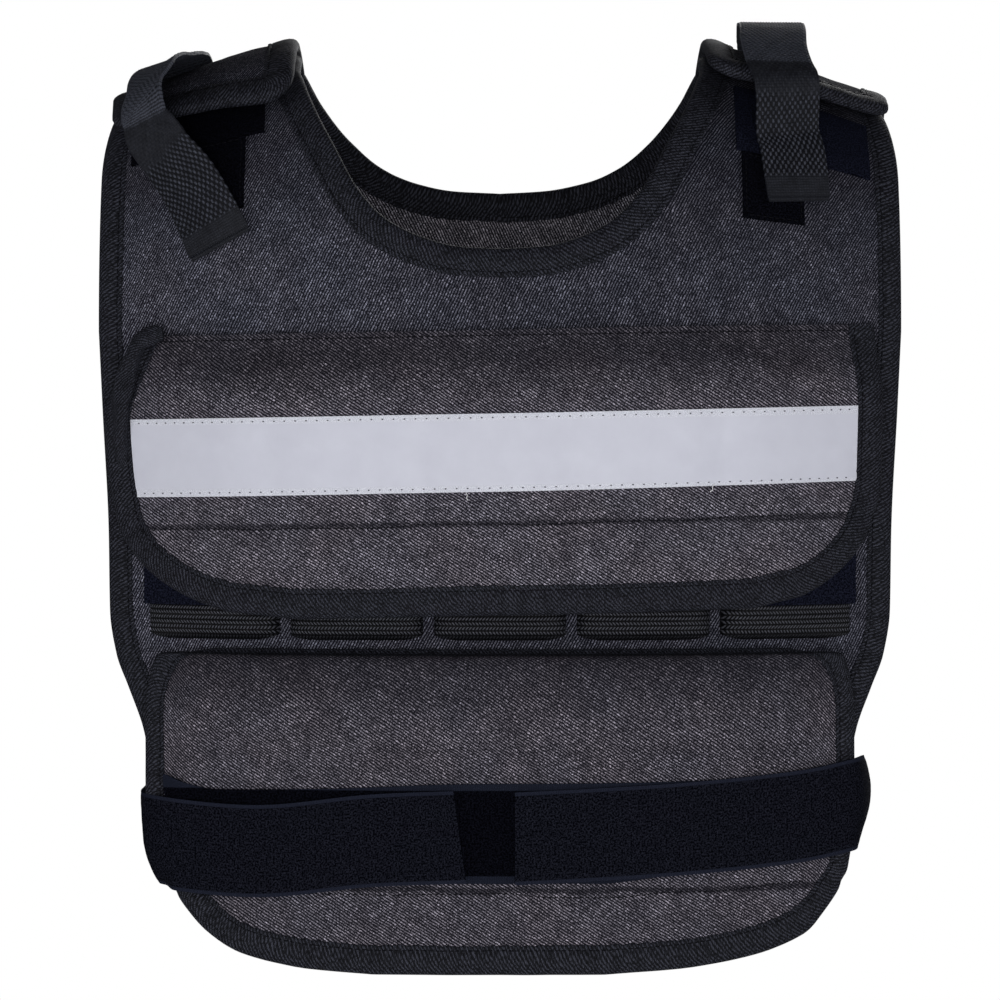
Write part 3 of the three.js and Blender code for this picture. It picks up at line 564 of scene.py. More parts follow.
body_pale, flap_pale = (0.335, 0.345, 0.445), (0.395, 0.375, 0.455)
body_denim = denim("body_denim", 61, (0.0040, 0.0042, 0.0072), body_pale, 0.352, body_shade_and_tone)
# The inside of the back is a brighter copy of the body denim, painted light where it lies in shade.
inside_denim_painted_light = denim("inside_denim_painted_light", 61, (0.0050, 0.0050, 0.0075), (0.48, 0.47, 0.55), 0.46)
flap_denim = denim("flap_denim", -33, (0.0052, 0.0051, 0.0080), flap_pale, 0.445, upper_flap_shade)
lower_denim = denim("lower_flap_denim", -33, (0.0052, 0.0051, 0.0080), flap_pale, 0.37,
                    lower_flap_shade)
print("denim lines every", TWILL_PITCH, "mm")

# %% [markdown]
# ## Tapes, pile, webbing and elastic
# The binding is a black twill tape with fine slanting ribs. Loop pile is a dense navy fuzz with
# smooth woven edges. Webbing is a basket weave of plump yarns, and the pockets' elastic has
# braided rows. Their larger ribs and bumps are modelled, and the shader adds the yarns.

# %% Binding, pile and stripe finishes
TAPE_RIB = 1.35


def binding_finish():
    tape = Finish("binding_tape", roughness=0.7, specular=0.08)
    slant = (tape.along * 0.62 + tape.across * 0.78) / TAPE_RIB + tape.noise(5.0) * 0.9
    rib = slant.wave().above(0.55, 0.8)
    yarn = ((tape.along * 0.8 - tape.across * 0.6) / 0.9).wave()
    wear_and_shade = 0.15 + 1.7 * tape.noise(6.0, 5.0)
    fuzz = tape.noise(0.9, 2.0).above(0.5, 0.36)
    # The tape is black; the lighter colour on its ribs is a painted sheen.
    show = (0.12 + 0.88 * rib) * wear_and_shade * (0.12 + 1.5 * fuzz) * (0.45 + 0.55 * yarn)
    colour = show.mix((0.0018, 0.0019, 0.0030), (0.036, 0.038, 0.052))
    return tape.use(colour, rib * 0.7 + 0.3 * yarn + 0.5 * fuzz, depth=0.18)


def pile_finish(name, half_width, dark, light, selvedge):
    """half_width is where the woven edge of the tape begins, in millimetres from its middle."""
    pile = Finish(name, roughness=0.95, specular=0.01)
    loops = pile.noise(1.0, 5.0)
    clumps = pile.noise(5.0, 3.0)
    speck = loops.above(0.5, 0.3) * (0.5 + 0.7 * clumps)
    colour = speck.mix(dark, light)
    height = loops * 1.2 + clumps
    if half_width:
        edge = pile.across.size().above(half_width, 0.5)
        weave = 0.65 + 0.5 * (pile.along / 0.9).wave()
        colour = (edge * weave).mix(colour, selvedge)
        height = height * (1 - edge) + edge * weave * 0.6
    return pile.use(colour, height, depth=0.5)


def stripe_finish(half_width):
    """The silver tape: a smooth glass-bead face between two pale woven edges."""
    tape = Finish("reflective_tape", roughness=0.5, specular=0.2)
    edge = tape.across.size().above(half_width, 1.0)
    grain = tape.noise(0.55, 1.0)
    cloud = tape.noise(16.0, 3.0)
    silver = (grain * 0.3 + cloud * 0.7).mix((0.47, 0.475, 0.55), (0.55, 0.56, 0.635))
    speckled = grain.above(0.5, 0.3).mix((0.42, 0.43, 0.5), (0.66, 0.67, 0.73))
    colour = (edge * 0.75).mix(silver, speckled)
    return tape.use(colour, grain * (0.15 + edge) + cloud * 0.5, depth=0.12)


STRIPE_WIDTH = 41.6
BELT_WIDTH = 50
SELVEDGE = 2.0
binding_tape = binding_finish()
belt_pile = pile_finish(
    "belt_pile", BELT_WIDTH / 2 - SELVEDGE, (0.0006, 0.0007, 0.0016), (0.0118, 0.0127, 0.0200),
    (0.0125, 0.0145, 0.025),
)
belt_patch_pile = pile_finish(
    "belt_patch_pile", BELT_WIDTH / 2 - SELVEDGE, (0.0004, 0.0004, 0.0010), (0.0040, 0.0043, 0.0075),
    (0.0110, 0.0130, 0.022),
)
patch_pile = pile_finish("patch_pile", None, (0.0006, 0.0006, 0.0012), (0.0042, 0.0044, 0.0076), None)
strip_pile = pile_finish("strip_pile", None, (0.0016, 0.0019, 0.0040), (0.011, 0.0125, 0.024), None)
silver_tape = stripe_finish(STRIPE_WIDTH / 2 - 3.4)
print("tape finishes: 6")

# %% Webbing, elastic and thread finishes
LANE = 1.6
YARN_ALONG = 4.8
RIB_PITCH = 2.6
CHEVRON_PITCH = 1.8
POCKET_SHADE_END = 163.5


def webbing_finish():
    """Plump yarns in a basket weave, flattened where the end is turned in and sewn, with a painted sheen
    over the top of the loop.
    """
    tape = Finish("webbing", roughness=0.6, specular=0.12)
    hem = tape.along.above(12.0, 1.5)
    dots = hem * (1 - (tape.along + tape.noise(9.0) * 8).above(64.0, 10.0))
    # Beyond about 86 mm the rows get a painted sheen, over the top of the loop.
    top = (tape.along + tape.noise(9.0) * 5).above(86.0, 5.0)
    lanes = tape.across / LANE
    shift = (lanes.floor() * 0.5).part()
    cord = (lanes.part() - 0.5).size() * -2 + 1
    wander = tape.noise(7.0) * 0.35
    plump = (tape.along / YARN_ALONG + shift + cord * 0.14 + wander).wave()
    bump = plump.above(0.64, 0.5) * cord.above(0.2, 0.6)
    strands = ((tape.along + tape.across * 2) / 0.8).wave()
    wear_and_shade = 0.25 + 1.5 * tape.noise(6.0, 4.0)
    fuzz = 0.1 + 1.8 * tape.noise(0.8, 2.0)
    rows = (tape.along / 1.5 + tape.noise(6.0) * 0.5).wave()
    # The second term is the painted sheen over the top of the loop.
    plain = (0.10 + 0.16 * rows * cord) * fuzz + top * rows * (0.35 + 0.65 * cord) * fuzz * 1.6
    colour = (0.8 * dots * bump * (0.5 + 0.5 * strands) * fuzz + plain * (1 - 0.8 * dots)) * wear_and_shade
    colour = colour.mix((0.0019, 0.0021, 0.0036), (0.055, 0.060, 0.080))
    return tape.use(colour, bump * dots + rows * 0.2 + strands * 0.12, depth=0.4)


def elastic_finish():
    band = Finish("braided_elastic", roughness=0.6, specular=0.12)
    rows = band.along / RIB_PITCH
    lean = (rows.floor() * 0.5).part() * 4 - 1
    braid = (band.across / CHEVRON_PITCH + (rows.part() - 0.5) * lean).wave()
    rib = (rows.part() - 0.5).size() * -2 + 1
    # The lower end of each pocket is painted darker, as painted shade under its rounded bottom.
    upper = 0.25 + 0.75 * (band.along + POCKET_SHADE_END).above(0.0, 4.0)
    show = upper * rib.above(0.42, 0.5) * braid.above(0.55, 0.5) * (0.1 + 1.8 * band.noise(0.8, 2.0))
    colour = show.mix((0.0011, 0.0012, 0.0019), (0.062, 0.064, 0.078))
    return band.use(colour, rib * 0.7 + braid, depth=0.35)


def thread_finish(name, colour):
    thread = Finish(name, roughness=0.6)
    twist = ((thread.along + thread.across) / 0.5).wave()
    lighter = tuple(1.5 * part for part in colour)
    return thread.use(twist.mix(colour, lighter))


webbing = webbing_finish()
elastic = elastic_finish()
black_thread = thread_finish("black_thread", (0.0035, 0.0035, 0.0048))
grey_thread = thread_finish("grey_thread", (0.05, 0.05, 0.062))
white_thread = thread_finish("white_thread", (0.5, 0.5, 0.52))
print("yarns every", YARN_ALONG, "mm")


# %% Putting a finished piece on the frame
def dress(piece, finish, slot, *nodes):
    piece.data.materials.clear()
    piece.data.materials.append(finish)
    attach(piece, "root")
    if nodes:
        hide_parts(*nodes)
    print(piece.name, "faces:", len(piece.data.polygons))


# %% [markdown]
# ## Bindings and stitches
# Every cut edge of the vest is bound: a tape is folded over it and sewn through both sides. The
# sewing draws the tape's inner edge into small puckers, and the tape stands round and full at the
# outer edge. We sweep that folded section along the edge. Each stitch of the seam is a small
# spindle, because at this distance the seams read by their rows of stitches.

# %% Sweeping a folded tape along an edge
TAPE_SECTION = [
    (BINDING_WIDTH, 0.15), (BINDING_WIDTH - 0.3, 0.95), (12.0, 1.15), (10.9, 0.85), (9.6, 1.35),
    (7.2, 1.95), (4.4, 2.25), (1.8, 2.1), (-0.4, 1.5),
]
EDGE_TURN = [(-1.7, 0.62), (-2.4, 0.22)]
TAPE_INNER = [(-0.9, -0.35), (0.6, 0.05), (8.0, 0.05), (BINDING_WIDTH - 0.6, 0.05)]
STITCH_INSET = 10.9
PATH_STEP = 2.2
PUCKER_LENGTH = 7.5


def resample(path, step, looped=False):
    path = np.asarray(path, float)
    if looped:
        path = np.concatenate([path, path[:1]])
    points = form_point(path[:, 0], path[:, 1])
    run = run_along(points)
    count = max(2, int(round(run[-1] / step)))
    at = np.linspace(0, run[-1], count + 1)
    if looped:
        at = at[:-1]
    x = np.interp(at, run, path[:, 0])
    p = np.interp(at, run, path[:, 1])
    return x, p, at, run[-1]


def inward_steps(x, p, side, looped):
    """The step over x and p that goes one millimetre into the cloth from its edge."""
    across, along, out = form_slopes(x, p)
    points = form_point(x, p)
    if looped:
        ahead = np.roll(points, -1, axis=0) - np.roll(points, 1, axis=0)
    else:
        ahead = np.gradient(points, axis=0)
    inward = unit(np.cross(out, unit(ahead))) * side
    dot = lambda a, b: (a * b).sum(axis=-1)
    crossing = dot(across, along)
    spanned = dot(across, across) * dot(along, along) - crossing**2
    over_x = (dot(inward, across) * dot(along, along) - dot(inward, along) * crossing) / spanned
    over_p = (dot(inward, along) * dot(across, across) - dot(inward, across) * crossing) / spanned
    return over_x, over_p


def binding_piece(name, path, low, high, side, looped=False, seed=1, lay=place):
    x, p, run, total = resample(path, PATH_STEP, looped)
    over_x, over_p = inward_steps(x, p, side, looped)
    drift = noise(run, 0.0, 30, 1, seed) * 0.5
    pucker = np.sin(2 * math.pi * run / PUCKER_LENGTH + 2.5 * noise(run, 0.0, 25, 1, seed + 1))
    rows = []

    def row(inset, rise, face):
        near = smooth((inset - 6) / 5)
        depth = inset + near * (0.35 * pucker + drift)
        edge = np.maximum(depth, 0)
        cloth = face(x + over_x * edge, p + over_p * edge)
        lift = rise * (1 + near * 0.18 * pucker)
        sign = 1 if face is high else -1
        rows.append(lay(x + over_x * depth, p + over_p * depth, cloth + sign * lift))

    def turn(inset, share):
        middle = (high(x, p) + low(x, p)) / 2
        reach = (high(x, p) - low(x, p)) / 2 + 1.9
        rows.append(lay(x + over_x * inset, p + over_p * inset, middle + share * reach))

    for inset, rise in TAPE_SECTION:
        row(inset, rise, high)
    for inset, share in EDGE_TURN:
        turn(inset, share)
    for inset, share in EDGE_TURN[::-1]:
        turn(inset, -share)
    for inset, rise in TAPE_SECTION[::-1]:
        row(inset, rise, low)
    for inset, rise in TAPE_INNER[::-1]:
        row(inset, rise, low)
    for inset, rise in TAPE_INNER:
        row(inset, rise, high)
    sections = np.stack(rows, axis=1)
    steps = steps_between(sections.mean(axis=0))
    around = np.concatenate([[0], np.cumsum(steps), [steps.sum() + 1]])
    length = np.append(run, total) if looped else run
    piece = loft_piece(name, sections, length, around, looped)
    return piece, (x, p, over_x, over_p)


# %% Sewing rows of stitches
STITCH_SIDES = 5
STITCH_PROFILE = [(0.0, 0.25), (0.2, 0.9), (0.5, 1.0), (0.8, 0.9), (1.0, 0.25)]
STITCH_SUNK = 0.55


def stitches(name, lines, finish, slot, pitch=3.6, length=2.7, radius=0.33):
    """lines is a list of points with their outward directions, each a row of stitches."""
    starts, ends, ups = [], [], []
    for points, out in lines:
        run = run_along(points)
        at = np.arange(pitch / 2, run[-1] - length, pitch)
        along = lambda t: np.stack([np.interp(t, run, points[:, k]) for k in range(3)], axis=-1)
        up = np.stack([np.interp(at, run, out[:, k]) for k in range(3)], axis=-1)
        starts.append(along(at))
        ends.append(along(at + length))
        ups.append(unit(up))
    start, end, up = (np.concatenate(parts) for parts in (starts, ends, ups))
    across = unit(np.cross(end - start, up))
    up = unit(np.cross(across, end - start))
    rings = []
    for share, width in STITCH_PROFILE:
        middle = blend(start, end, share) + up * radius * (width - STITCH_SUNK)
        for side in range(STITCH_SIDES):
            turn = 2 * math.pi * side / STITCH_SIDES
            rings.append(middle + (across * math.cos(turn) + up * math.sin(turn)) * radius * width)
    points = np.stack(rings, axis=1)
    count, size = points.shape[:2]
    one = []
    for ring in range(len(STITCH_PROFILE) - 1):
        for side in range(STITCH_SIDES):
            a, b = ring * STITCH_SIDES + side, ring * STITCH_SIDES + (side + 1) % STITCH_SIDES
            one.append([a, b, b + STITCH_SIDES, a + STITCH_SIDES])
    caps = [list(range(STITCH_SIDES))[::-1], list(range(size - STITCH_SIDES, size))]
    faces = [[n * size + v for v in face] for n in range(count) for face in one + caps]
    around = lambda v: (0.2 * (v % STITCH_SIDES), 0.6 * (v % size // STITCH_SIDES))
    corners = [around(v) for face in faces for v in face]
    piece = piece_from(name, points.reshape(-1, 3), faces, corners)
    face_outward()
    bpy.ops.object.shade_smooth()
    dress(piece, finish, slot)


def seam_line(x, p, out, lay=place):
    return lay(x, p, out), form_slopes(x, p)[2]


def bind(name, nodes, path, low, high, side, looped=False, seed=1, stitched_inside=False, lay=place):
    tape, (x, p, over_x, over_p) = binding_piece(name, path, low, high, side, looped, seed, lay)
    dress(tape, binding_tape, "binding", *nodes)
    sewn_x, sewn_p = x + over_x * STITCH_INSET, p + over_p * STITCH_INSET
    lines = [seam_line(sewn_x, sewn_p, high(sewn_x, sewn_p) + 1.0, lay)]
    if stitched_inside:
        points, out = seam_line(sewn_x, sewn_p, low(sewn_x, sewn_p) - 1.0)
        lines.append((points, -out))
    stitches(name + "_stitches", lines, black_thread, "binding")


print("a folded tape has", 2 * len(TAPE_SECTION) + 2 * len(EDGE_TURN) + 2 * len(TAPE_INNER), "corners")

# %% [markdown]
# ## The front panel
# The front is one piece of padded denim. Its outline narrows below the arms and rounds off at the
# hem, and the neck is a deep U. We lay a fine grid between the outline and the neckline, then
# give it soft wrinkles that fade where the flaps and their weights hold it flat.

# %% Outlines of the panels
body_outline = Curve(
    (0, 1), (0.13, 0.99), (0.32, 0.975), (0.45, 0.972), (0.52, 0.955), (0.57, 0.925), (0.64, 0.885),
    (0.76, 0.85), (0.87, 0.8), (0.92, 0.735), (0.95, 0.67), (0.975, 0.585), (0.99, 0.5), (0.998, 0.41),
    (1, 0.34),
)
front_neckline = Curve(
    (0, 1), (0.21, 0.985), (0.38, 0.94), (0.55, 0.85), (0.69, 0.7), (0.83, 0.44), (0.93, 0.24), (0.99, 0.09)
)
back_neckline = Curve(
    (0, 1), (0.25, 0.975), (0.45, 0.91), (0.62, 0.79), (0.78, 0.58), (0.92, 0.3), (0.99, 0.09)
)
SHOULDER_TAPER = 6
GRID_STEP = 2.8


def body_half(below):
    return CLOTH_EDGE * body_outline(below / BODY_LENGTH)


def shoulder_outer(p):
    to_crest = 1 - np.abs(p - QUARTER) / QUARTER
    return CLOTH_EDGE - SHOULDER_TAPER * smooth(2 * to_crest - 1)


def neckline_path(curve, depth, behind, count=64):
    across = np.linspace(0, 0.99, count) ** 0.8
    x = NECK_EDGE * across
    return x, along_at_height(x, CREST_RISE_AT_NECK - curve(across) * depth - WEDGE, behind)


def hem_rows(bottom, behind):
    share = 1 - np.linspace(0, 1, 22) ** 1.6
    low = np.concatenate([BODY_LENGTH * (0.88 + 0.12 * share[:-1]), [BODY_LENGTH * 0.88]])
    up = np.arange(BODY_LENGTH * 0.88 - GRID_STEP, 0, -GRID_STEP)
    below = np.concatenate([low, up])
    start = BACK_CHEST + below if behind else -below
    gap = abs(bottom - (BACK_CHEST if behind else 0))
    steps = np.linspace(0, gap, max(2, int(gap / GRID_STEP)))[:-1]
    rest = BACK_CHEST - steps if behind else steps
    p = np.concatenate([start, rest])
    outer = np.concatenate([body_half(below), np.full(len(rest), CLOTH_EDGE)])
    return p, outer


def both_sides(p, inner, outer, columns):
    share = np.linspace(0, 1, columns)
    xs = blend(inner[:, None], outer[:, None], share[None, :])
    ps = np.broadcast_to(np.asarray(p)[:, None] if np.ndim(p) == 1 else p, xs.shape)
    return [(xs, ps.copy()), (-xs[:, ::-1], ps[:, ::-1].copy())]


print("panel half width at the belt:", float(body_half(270).round(1)))

# %% Front panel cloth
SHOULDER_END_GAP = 14
PANEL_COLUMNS = 78
front_neck = neckline_path(front_neckline, FRONT_NECK_DEPTH, False)
front_top = np.linspace(front_neck[1][-1], QUARTER - SHOULDER_END_GAP, 16)[1:]
hem_p, hem_outer = hem_rows(front_neck[1][0], False)
front_p = np.concatenate([hem_p, front_neck[1], front_top])
front_inner = np.concatenate([np.zeros(len(hem_p)), front_neck[0], np.full(len(front_top), NECK_EDGE)])
front_outer = np.concatenate([hem_outer, shoulder_outer(front_neck[1]), shoulder_outer(front_top)])


def front_wrinkles(x, p):
    held = 1 - 0.8 * smooth((8 - p) / 24)
    edge = smooth((CLOTH_EDGE - np.abs(x)) / 22)
    broad = 1.5 * noise(x, p, 46, 75, 11) + 0.7 * noise(x, p, 21, 34, 12)
    fine = 0.22 * noise(x, p, 7, 9, 13)
    return held * edge * (broad + fine)


def front_high(x, p):
    return PANEL_THICKNESS + front_wrinkles(x, p)


def front_low(x, p):
    return front_high(x, p) - PANEL_THICKNESS


front = cloth_piece("front_panel_cloth", both_sides(front_p, front_inner, front_outer, PANEL_COLUMNS),
                    front_high, PANEL_THICKNESS)
dress(front, body_denim, "denim", "front_panel")


# %% Front bindings
def mirrored(x, p):
    """A path from the left end through the middle to the right end, from its right half."""
    return np.stack([np.concatenate([-x[::-1], x[1:]]), np.concatenate([p[::-1], p[1:]])], axis=-1)


def outer_path(p, outer):
    hem_x = np.linspace(outer[0], 0, 20)[1:]
    right_x = np.concatenate([outer[::-1], hem_x])
    right_p = np.concatenate([p[::-1], np.full(len(hem_x), p[0])])
    return mirrored(right_x[::-1], right_p[::-1])[::-1]


neck_x = np.concatenate([front_neck[0], np.full(len(front_top), NECK_EDGE)])
neck_p = np.concatenate([front_neck[1], front_top])
bind("front_neck_tape", ["front_neck_binding"], mirrored(neck_x, neck_p), front_low, front_high, -1,
     seed=21, stitched_inside=True)
bind("front_edge_tape", ["front_edge_binding"], outer_path(front_p, front_outer), front_low, front_high, -1,
     seed=23, stitched_inside=True)

# %% [markdown]
# ## The back panel and its tongues
# The back passes over the crest of each shoulder and ends in front as a rounded tongue, which
# lies on the front panel and is held there by the straps. Its outside steps out over the front
# panel's bound edge. Through the neck opening we look at its inside, whose denim is made
# brighter as painted light.

# %% Back panel cloth
TONGUE_LENGTH_AT_NECK = 76
TONGUE_LENGTH_AT_ARM = 58
LEFT_TONGUE_EXTRA = 13
TONGUE_CORNER = 16
TONGUE_TAPER = 4
TONGUE_RISE = 55
TONGUE_LIFT_LEFT = 3
TONGUE_LIFT_RIGHT = 11
TONGUE_BASE = PANEL_THICKNESS + 2 * WEDGE + 0.5


def tongue_end(x):
    share = clamp((np.abs(x) - NECK_EDGE) / (CLOTH_EDGE - NECK_EDGE))
    longer = np.where(x < 0, LEFT_TONGUE_EXTRA, 0)
    return QUARTER - blend(TONGUE_LENGTH_AT_NECK, TONGUE_LENGTH_AT_ARM, share) - longer


def back_low(x, p):
    over = TONGUE_BASE * smooth((QUARTER + TONGUE_RISE - p) / TONGUE_RISE)
    rise = np.where(x < 0, TONGUE_LIFT_LEFT, TONGUE_LIFT_RIGHT)
    lift = rise * clamp((QUARTER - p) / TONGUE_LENGTH_AT_NECK) ** 2
    edge = smooth((CLOTH_EDGE - np.abs(x)) / 22)
    wrinkles = 1.3 * noise(x, p, 48, 80, 31) + 0.6 * noise(x, p, 22, 30, 32) + 0.2 * noise(x, p, 7, 9, 33)
    return over + lift + edge * (wrinkles + 0.6)


def back_high(x, p):
    return back_low(x, p) + PANEL_THICKNESS


back_neck = neckline_path(back_neckline, BACK_NECK_DEPTH, True)
back_crest = np.linspace(back_neck[1][-1], QUARTER, 14)[1:]
hem_p, hem_outer = hem_rows(back_neck[1][0], True)
step = np.linspace(0, 1, 34)[1:]
step = 1 - (1 - step) ** 1.5
left_over = (1 - step) * TONGUE_LENGTH_AT_NECK
turned = clamp(1 - left_over / TONGUE_CORNER)
corner = TONGUE_CORNER * (1 - np.sqrt(1 - turned**2))
tongue_inner = NECK_EDGE + corner
tongue_outer = shoulder_outer(QUARTER) - TONGUE_TAPER * step - corner
share = np.linspace(0, 1, PANEL_COLUMNS)
tongue_xs = blend(tongue_inner[:, None], tongue_outer[:, None], share[None, :])
tongue_ps = blend(QUARTER, tongue_end(tongue_xs), step[:, None])
back_p = np.concatenate([hem_p, back_neck[1], back_crest])
back_inner = np.concatenate([np.zeros(len(hem_p)), back_neck[0], np.full(len(back_crest), NECK_EDGE)])
back_outer = np.concatenate([hem_outer, shoulder_outer(back_neck[1]), shoulder_outer(back_crest)])
right_xs, right_ps = both_sides(back_p, back_inner, back_outer, PANEL_COLUMNS)[0]
back_xs, back_ps = np.concatenate([right_xs, tongue_xs]), np.concatenate([right_ps, tongue_ps])
left_ps = np.concatenate([back_ps[:-len(step)], blend(QUARTER, tongue_end(-tongue_xs), step[:, None])])
back = cloth_piece("back_panel_cloth", [(back_xs, back_ps), (-back_xs[:, ::-1], left_ps[:, ::-1])],
                   back_high, PANEL_THICKNESS)
dress(back, body_denim, "denim", "back_panel")
# The inside faces take the brighter denim, painted light in the shade inside the neck.
back.data.materials.append(inside_denim_painted_light)
facing = np.zeros(len(back.data.polygons) * 3)
middles = facing.copy()
back.data.polygons.foreach_get("normal", facing)
back.data.polygons.foreach_get("center", middles)
inside = (facing[1::3] < -0.2) & (middles[1::3] > 0.02)
back.data.polygons.foreach_set("material_index", inside.astype(np.int32))
back.data.update()

# %% Back binding
right_inner = [(x, p) for x, p in zip(back_inner, back_p) if x > 0]
right_inner += list(zip(tongue_xs[:, 0], tongue_ps[:, 0]))
tongue_front = list(zip(tongue_xs[-1, 1:-1], tongue_ps[-1, 1:-1]))
right_outer = list(zip(tongue_xs[::-1, -1], tongue_ps[::-1, -1]))
right_outer += list(zip(back_outer[::-1], back_p[::-1]))
hem = [(x, back_p[0]) for x in np.linspace(back_outer[0], 0, 20)[1:-1]]
right = right_inner + tongue_front + right_outer + hem


def on_left(x, p):
    """The left side's place for one of the right side, whose tongue is shorter."""
    longer = (QUARTER - tongue_end(-x)) / (QUARTER - tongue_end(x))
    return -x, p if p >= QUARTER else QUARTER + (p - QUARTER) * longer


left = [on_left(x, p) for x, p in right[::-1]]
bind("back_tape", ["back_binding"], [(0, back_neck[1][0])] + right + [(0, back_p[0])] + left,
     back_low, back_high, 1, looped=True, seed=41, stitched_inside=True)

# %% [markdown]
# ## Pile on the shoulders
# The straps and tongues close on black loop pile, which is sewn to each front shoulder as a wide
# patch with a narrow strip below it.


# %% Flat rectangles of cloth sewn to a surface
def rectangle(x0, x1, p0, p1, step_x=3.0, step_p=3.0):
    xs = np.linspace(x0, x1, max(2, int(abs(x1 - x0) / step_x)))
    ps = np.linspace(p0, p1, max(2, int(abs(p1 - p0) / step_p)))
    return np.meshgrid(xs, ps)


def edge_stitches(name, x0, x1, p0, p1, high, finish, slot, inset=1.8):
    across, along = np.linspace(x0 + inset, x1 - inset, 40), np.linspace(p0 + inset, p1 - inset, 40)
    flat = np.full(40, 1.0)
    sides = [(across, flat * (p0 + inset)), (across, flat * (p1 - inset)),
             (flat * (x0 + inset), along), (flat * (x1 - inset), along)]
    lines = [seam_line(x, p, high(x, p) + 0.15) for x, p in sides]
    stitches(name, lines, finish, slot)


PATCH_WIDTH = 73
PATCH_TOP = 60
PATCH_LENGTHS = {"left": 42, "right": 54}
STRIP_WIDTH = 33
STRIP_LENGTHS = {"left": 45, "right": 39}
PILE_THICKNESS = 1.2
PATCH_MIDDLE = (NECK_HALF_WIDTH + HALF_WIDTH) / 2
STRIP_MIDDLES = {"left": -154, "right": 147}


def on_front(x, p):
    return front_high(x, p) + 0.5 + PILE_THICKNESS


patch_top = QUARTER - PATCH_TOP
for side, sign in (("left", -1), ("right", 1)):
    x0, x1 = sign * PATCH_MIDDLE - PATCH_WIDTH / 2, sign * PATCH_MIDDLE + PATCH_WIDTH / 2
    length = PATCH_LENGTHS[side]
    patch = cloth_piece(f"shoulder_patch_{side}_pile", [rectangle(x0, x1, patch_top - length, patch_top)],
                        on_front, PILE_THICKNESS)
    dress(patch, patch_pile if side == "left" else strip_pile, "pile", f"shoulder_patch_{side}")
    middle, strip_top = STRIP_MIDDLES[side], patch_top - length - 0.5
    x0, x1 = middle - STRIP_WIDTH / 2, middle + STRIP_WIDTH / 2
    length = STRIP_LENGTHS[side]
    strip = cloth_piece(f"shoulder_strip_{side}_pile", [rectangle(x0, x1, strip_top - length, strip_top)],
                        on_front, PILE_THICKNESS)
    dress(strip, patch_pile, "pile", f"shoulder_strip_{side}")
    edge_stitches(f"shoulder_strip_{side}_stitches", x0, x1, strip_top - length, strip_top,
                  on_front, black_thread, "pile")

# %% [markdown]
# ## Pockets with their weights
# Five elastic pockets hug short bars of metal. Only their lower ends show below the upper flap,
# so the rows of braid are modelled there, and each pocket ends in a plain hem, darkened with
# painted shade under its rounded end.

# %% Elastic pockets
POCKET_COUNT = 5
POCKET_ROW_HALF_WIDTH = 188
POCKET_GAP = 6
POCKET_TOP = 32
POCKET_BOTTOM = 167
POCKET_DEPTH = 15
SEAM_THICKNESS = 2
PILE_BASE = PANEL_THICKNESS + 0.5
SIDE_FALL = 75
EDGE_SWELL = 0.45
UPPER_FLAP_HALF_WIDTH = 199.5
POCKET_HEM = 7
pocket_width = (2 * POCKET_ROW_HALF_WIDTH - (POCKET_COUNT - 1) * POCKET_GAP) / POCKET_COUNT


def side_fall(x, half):
    return 1 - smooth((np.abs(x) - (half - SIDE_FALL)) / SIDE_FALL)


def pocket_out(x):
    return PILE_BASE + POCKET_DEPTH * blend(EDGE_SWELL, 1, side_fall(x, UPPER_FLAP_HALF_WIDTH))


for number in range(POCKET_COUNT):
    left_edge = -POCKET_ROW_HALF_WIDTH + number * (pocket_width + POCKET_GAP)

    def pocket_high(x, p):
        across = np.abs(2 * (x - left_edge) / pocket_width - 1)
        down = np.abs(2 * (-p - POCKET_TOP) / (POCKET_BOTTOM - POCKET_TOP) - 1)
        swell = np.sqrt(np.maximum(0, 1 - across**6)) * np.sqrt(np.maximum(0, 1 - down**14))
        braided = smooth((p + POCKET_BOTTOM - POCKET_HEM) / 1.2)
        rib = np.abs(np.sin(math.pi * p / RIB_PITCH)) * 0.7 - 0.5
        slack = 0.8 * noise(x, p, 24, 9, 50 + number)
        bare = blend(PILE_BASE + SEAM_THICKNESS - 1.4, pocket_out(x) - 1.2, swell)
        return bare + swell * (braided * rib + slack - 0.7 * (1 - braided))

    bend = np.sin(np.linspace(-math.pi / 2, math.pi / 2, 44)) / 2 + 0.5
    columns = left_edge + pocket_width * bend
    fine = np.linspace(POCKET_BOTTOM, POCKET_BOTTOM - 52, 118)
    coarse = np.linspace(POCKET_BOTTOM - 55, POCKET_TOP, 24)
    xs, ps = np.meshgrid(columns, -np.concatenate([fine, coarse]))
    pull = 3.2 * (np.abs(2 * (xs - left_edge) / pocket_width - 1)) ** 6
    ps = ps + pull * smooth((-ps - POCKET_BOTTOM + 14) / 14)
    pocket = cloth_piece(f"weight_pocket_{number + 1}_elastic", [(xs, ps)], pocket_high, 2.0)
    dress(pocket, elastic, "elastic", f"weight_pocket_{number + 1}")

# %% [markdown]
# ## The upper flap
# The flap is sewn along its top and bound round its other sides, and it hangs over the pockets.
# The seam puckers it, and a row of stitches crosses it where a hook strip is sewn behind. The
# whole flap sits a little askew on the vest, higher on the right, so its places are tilted before
# they are laid on the form.

# %% Upper flap cloth
UPPER_FLAP_LENGTH = 150
UPPER_FLAP_CORNER = 68
UPPER_CORNER_WIDTH = 98
RIGHT_CORNER_WIDTH = 68
FLAP_RISE = 40
FLAP_SHIFT = -2.0
FLAP_REACH = 200
SHORTER_RIGHT = 0.022
LONGER_LEFT = 0.008
FLAP_COLUMNS = 92
STRIPE_TOP = 44.7
POCKET_PITCH = pocket_width + POCKET_GAP
left_waist = Curve((0, 0.958), (20, 0.986), (45, 1.014), (70, 1.005), (90, 0.993), (110, 1), (150, 1))


def rounded_half(half, corner_size, left, corner_width):
    turn = clamp(1 - left / corner_size)
    return half - corner_width * (1 - np.sqrt(1 - turn**2))


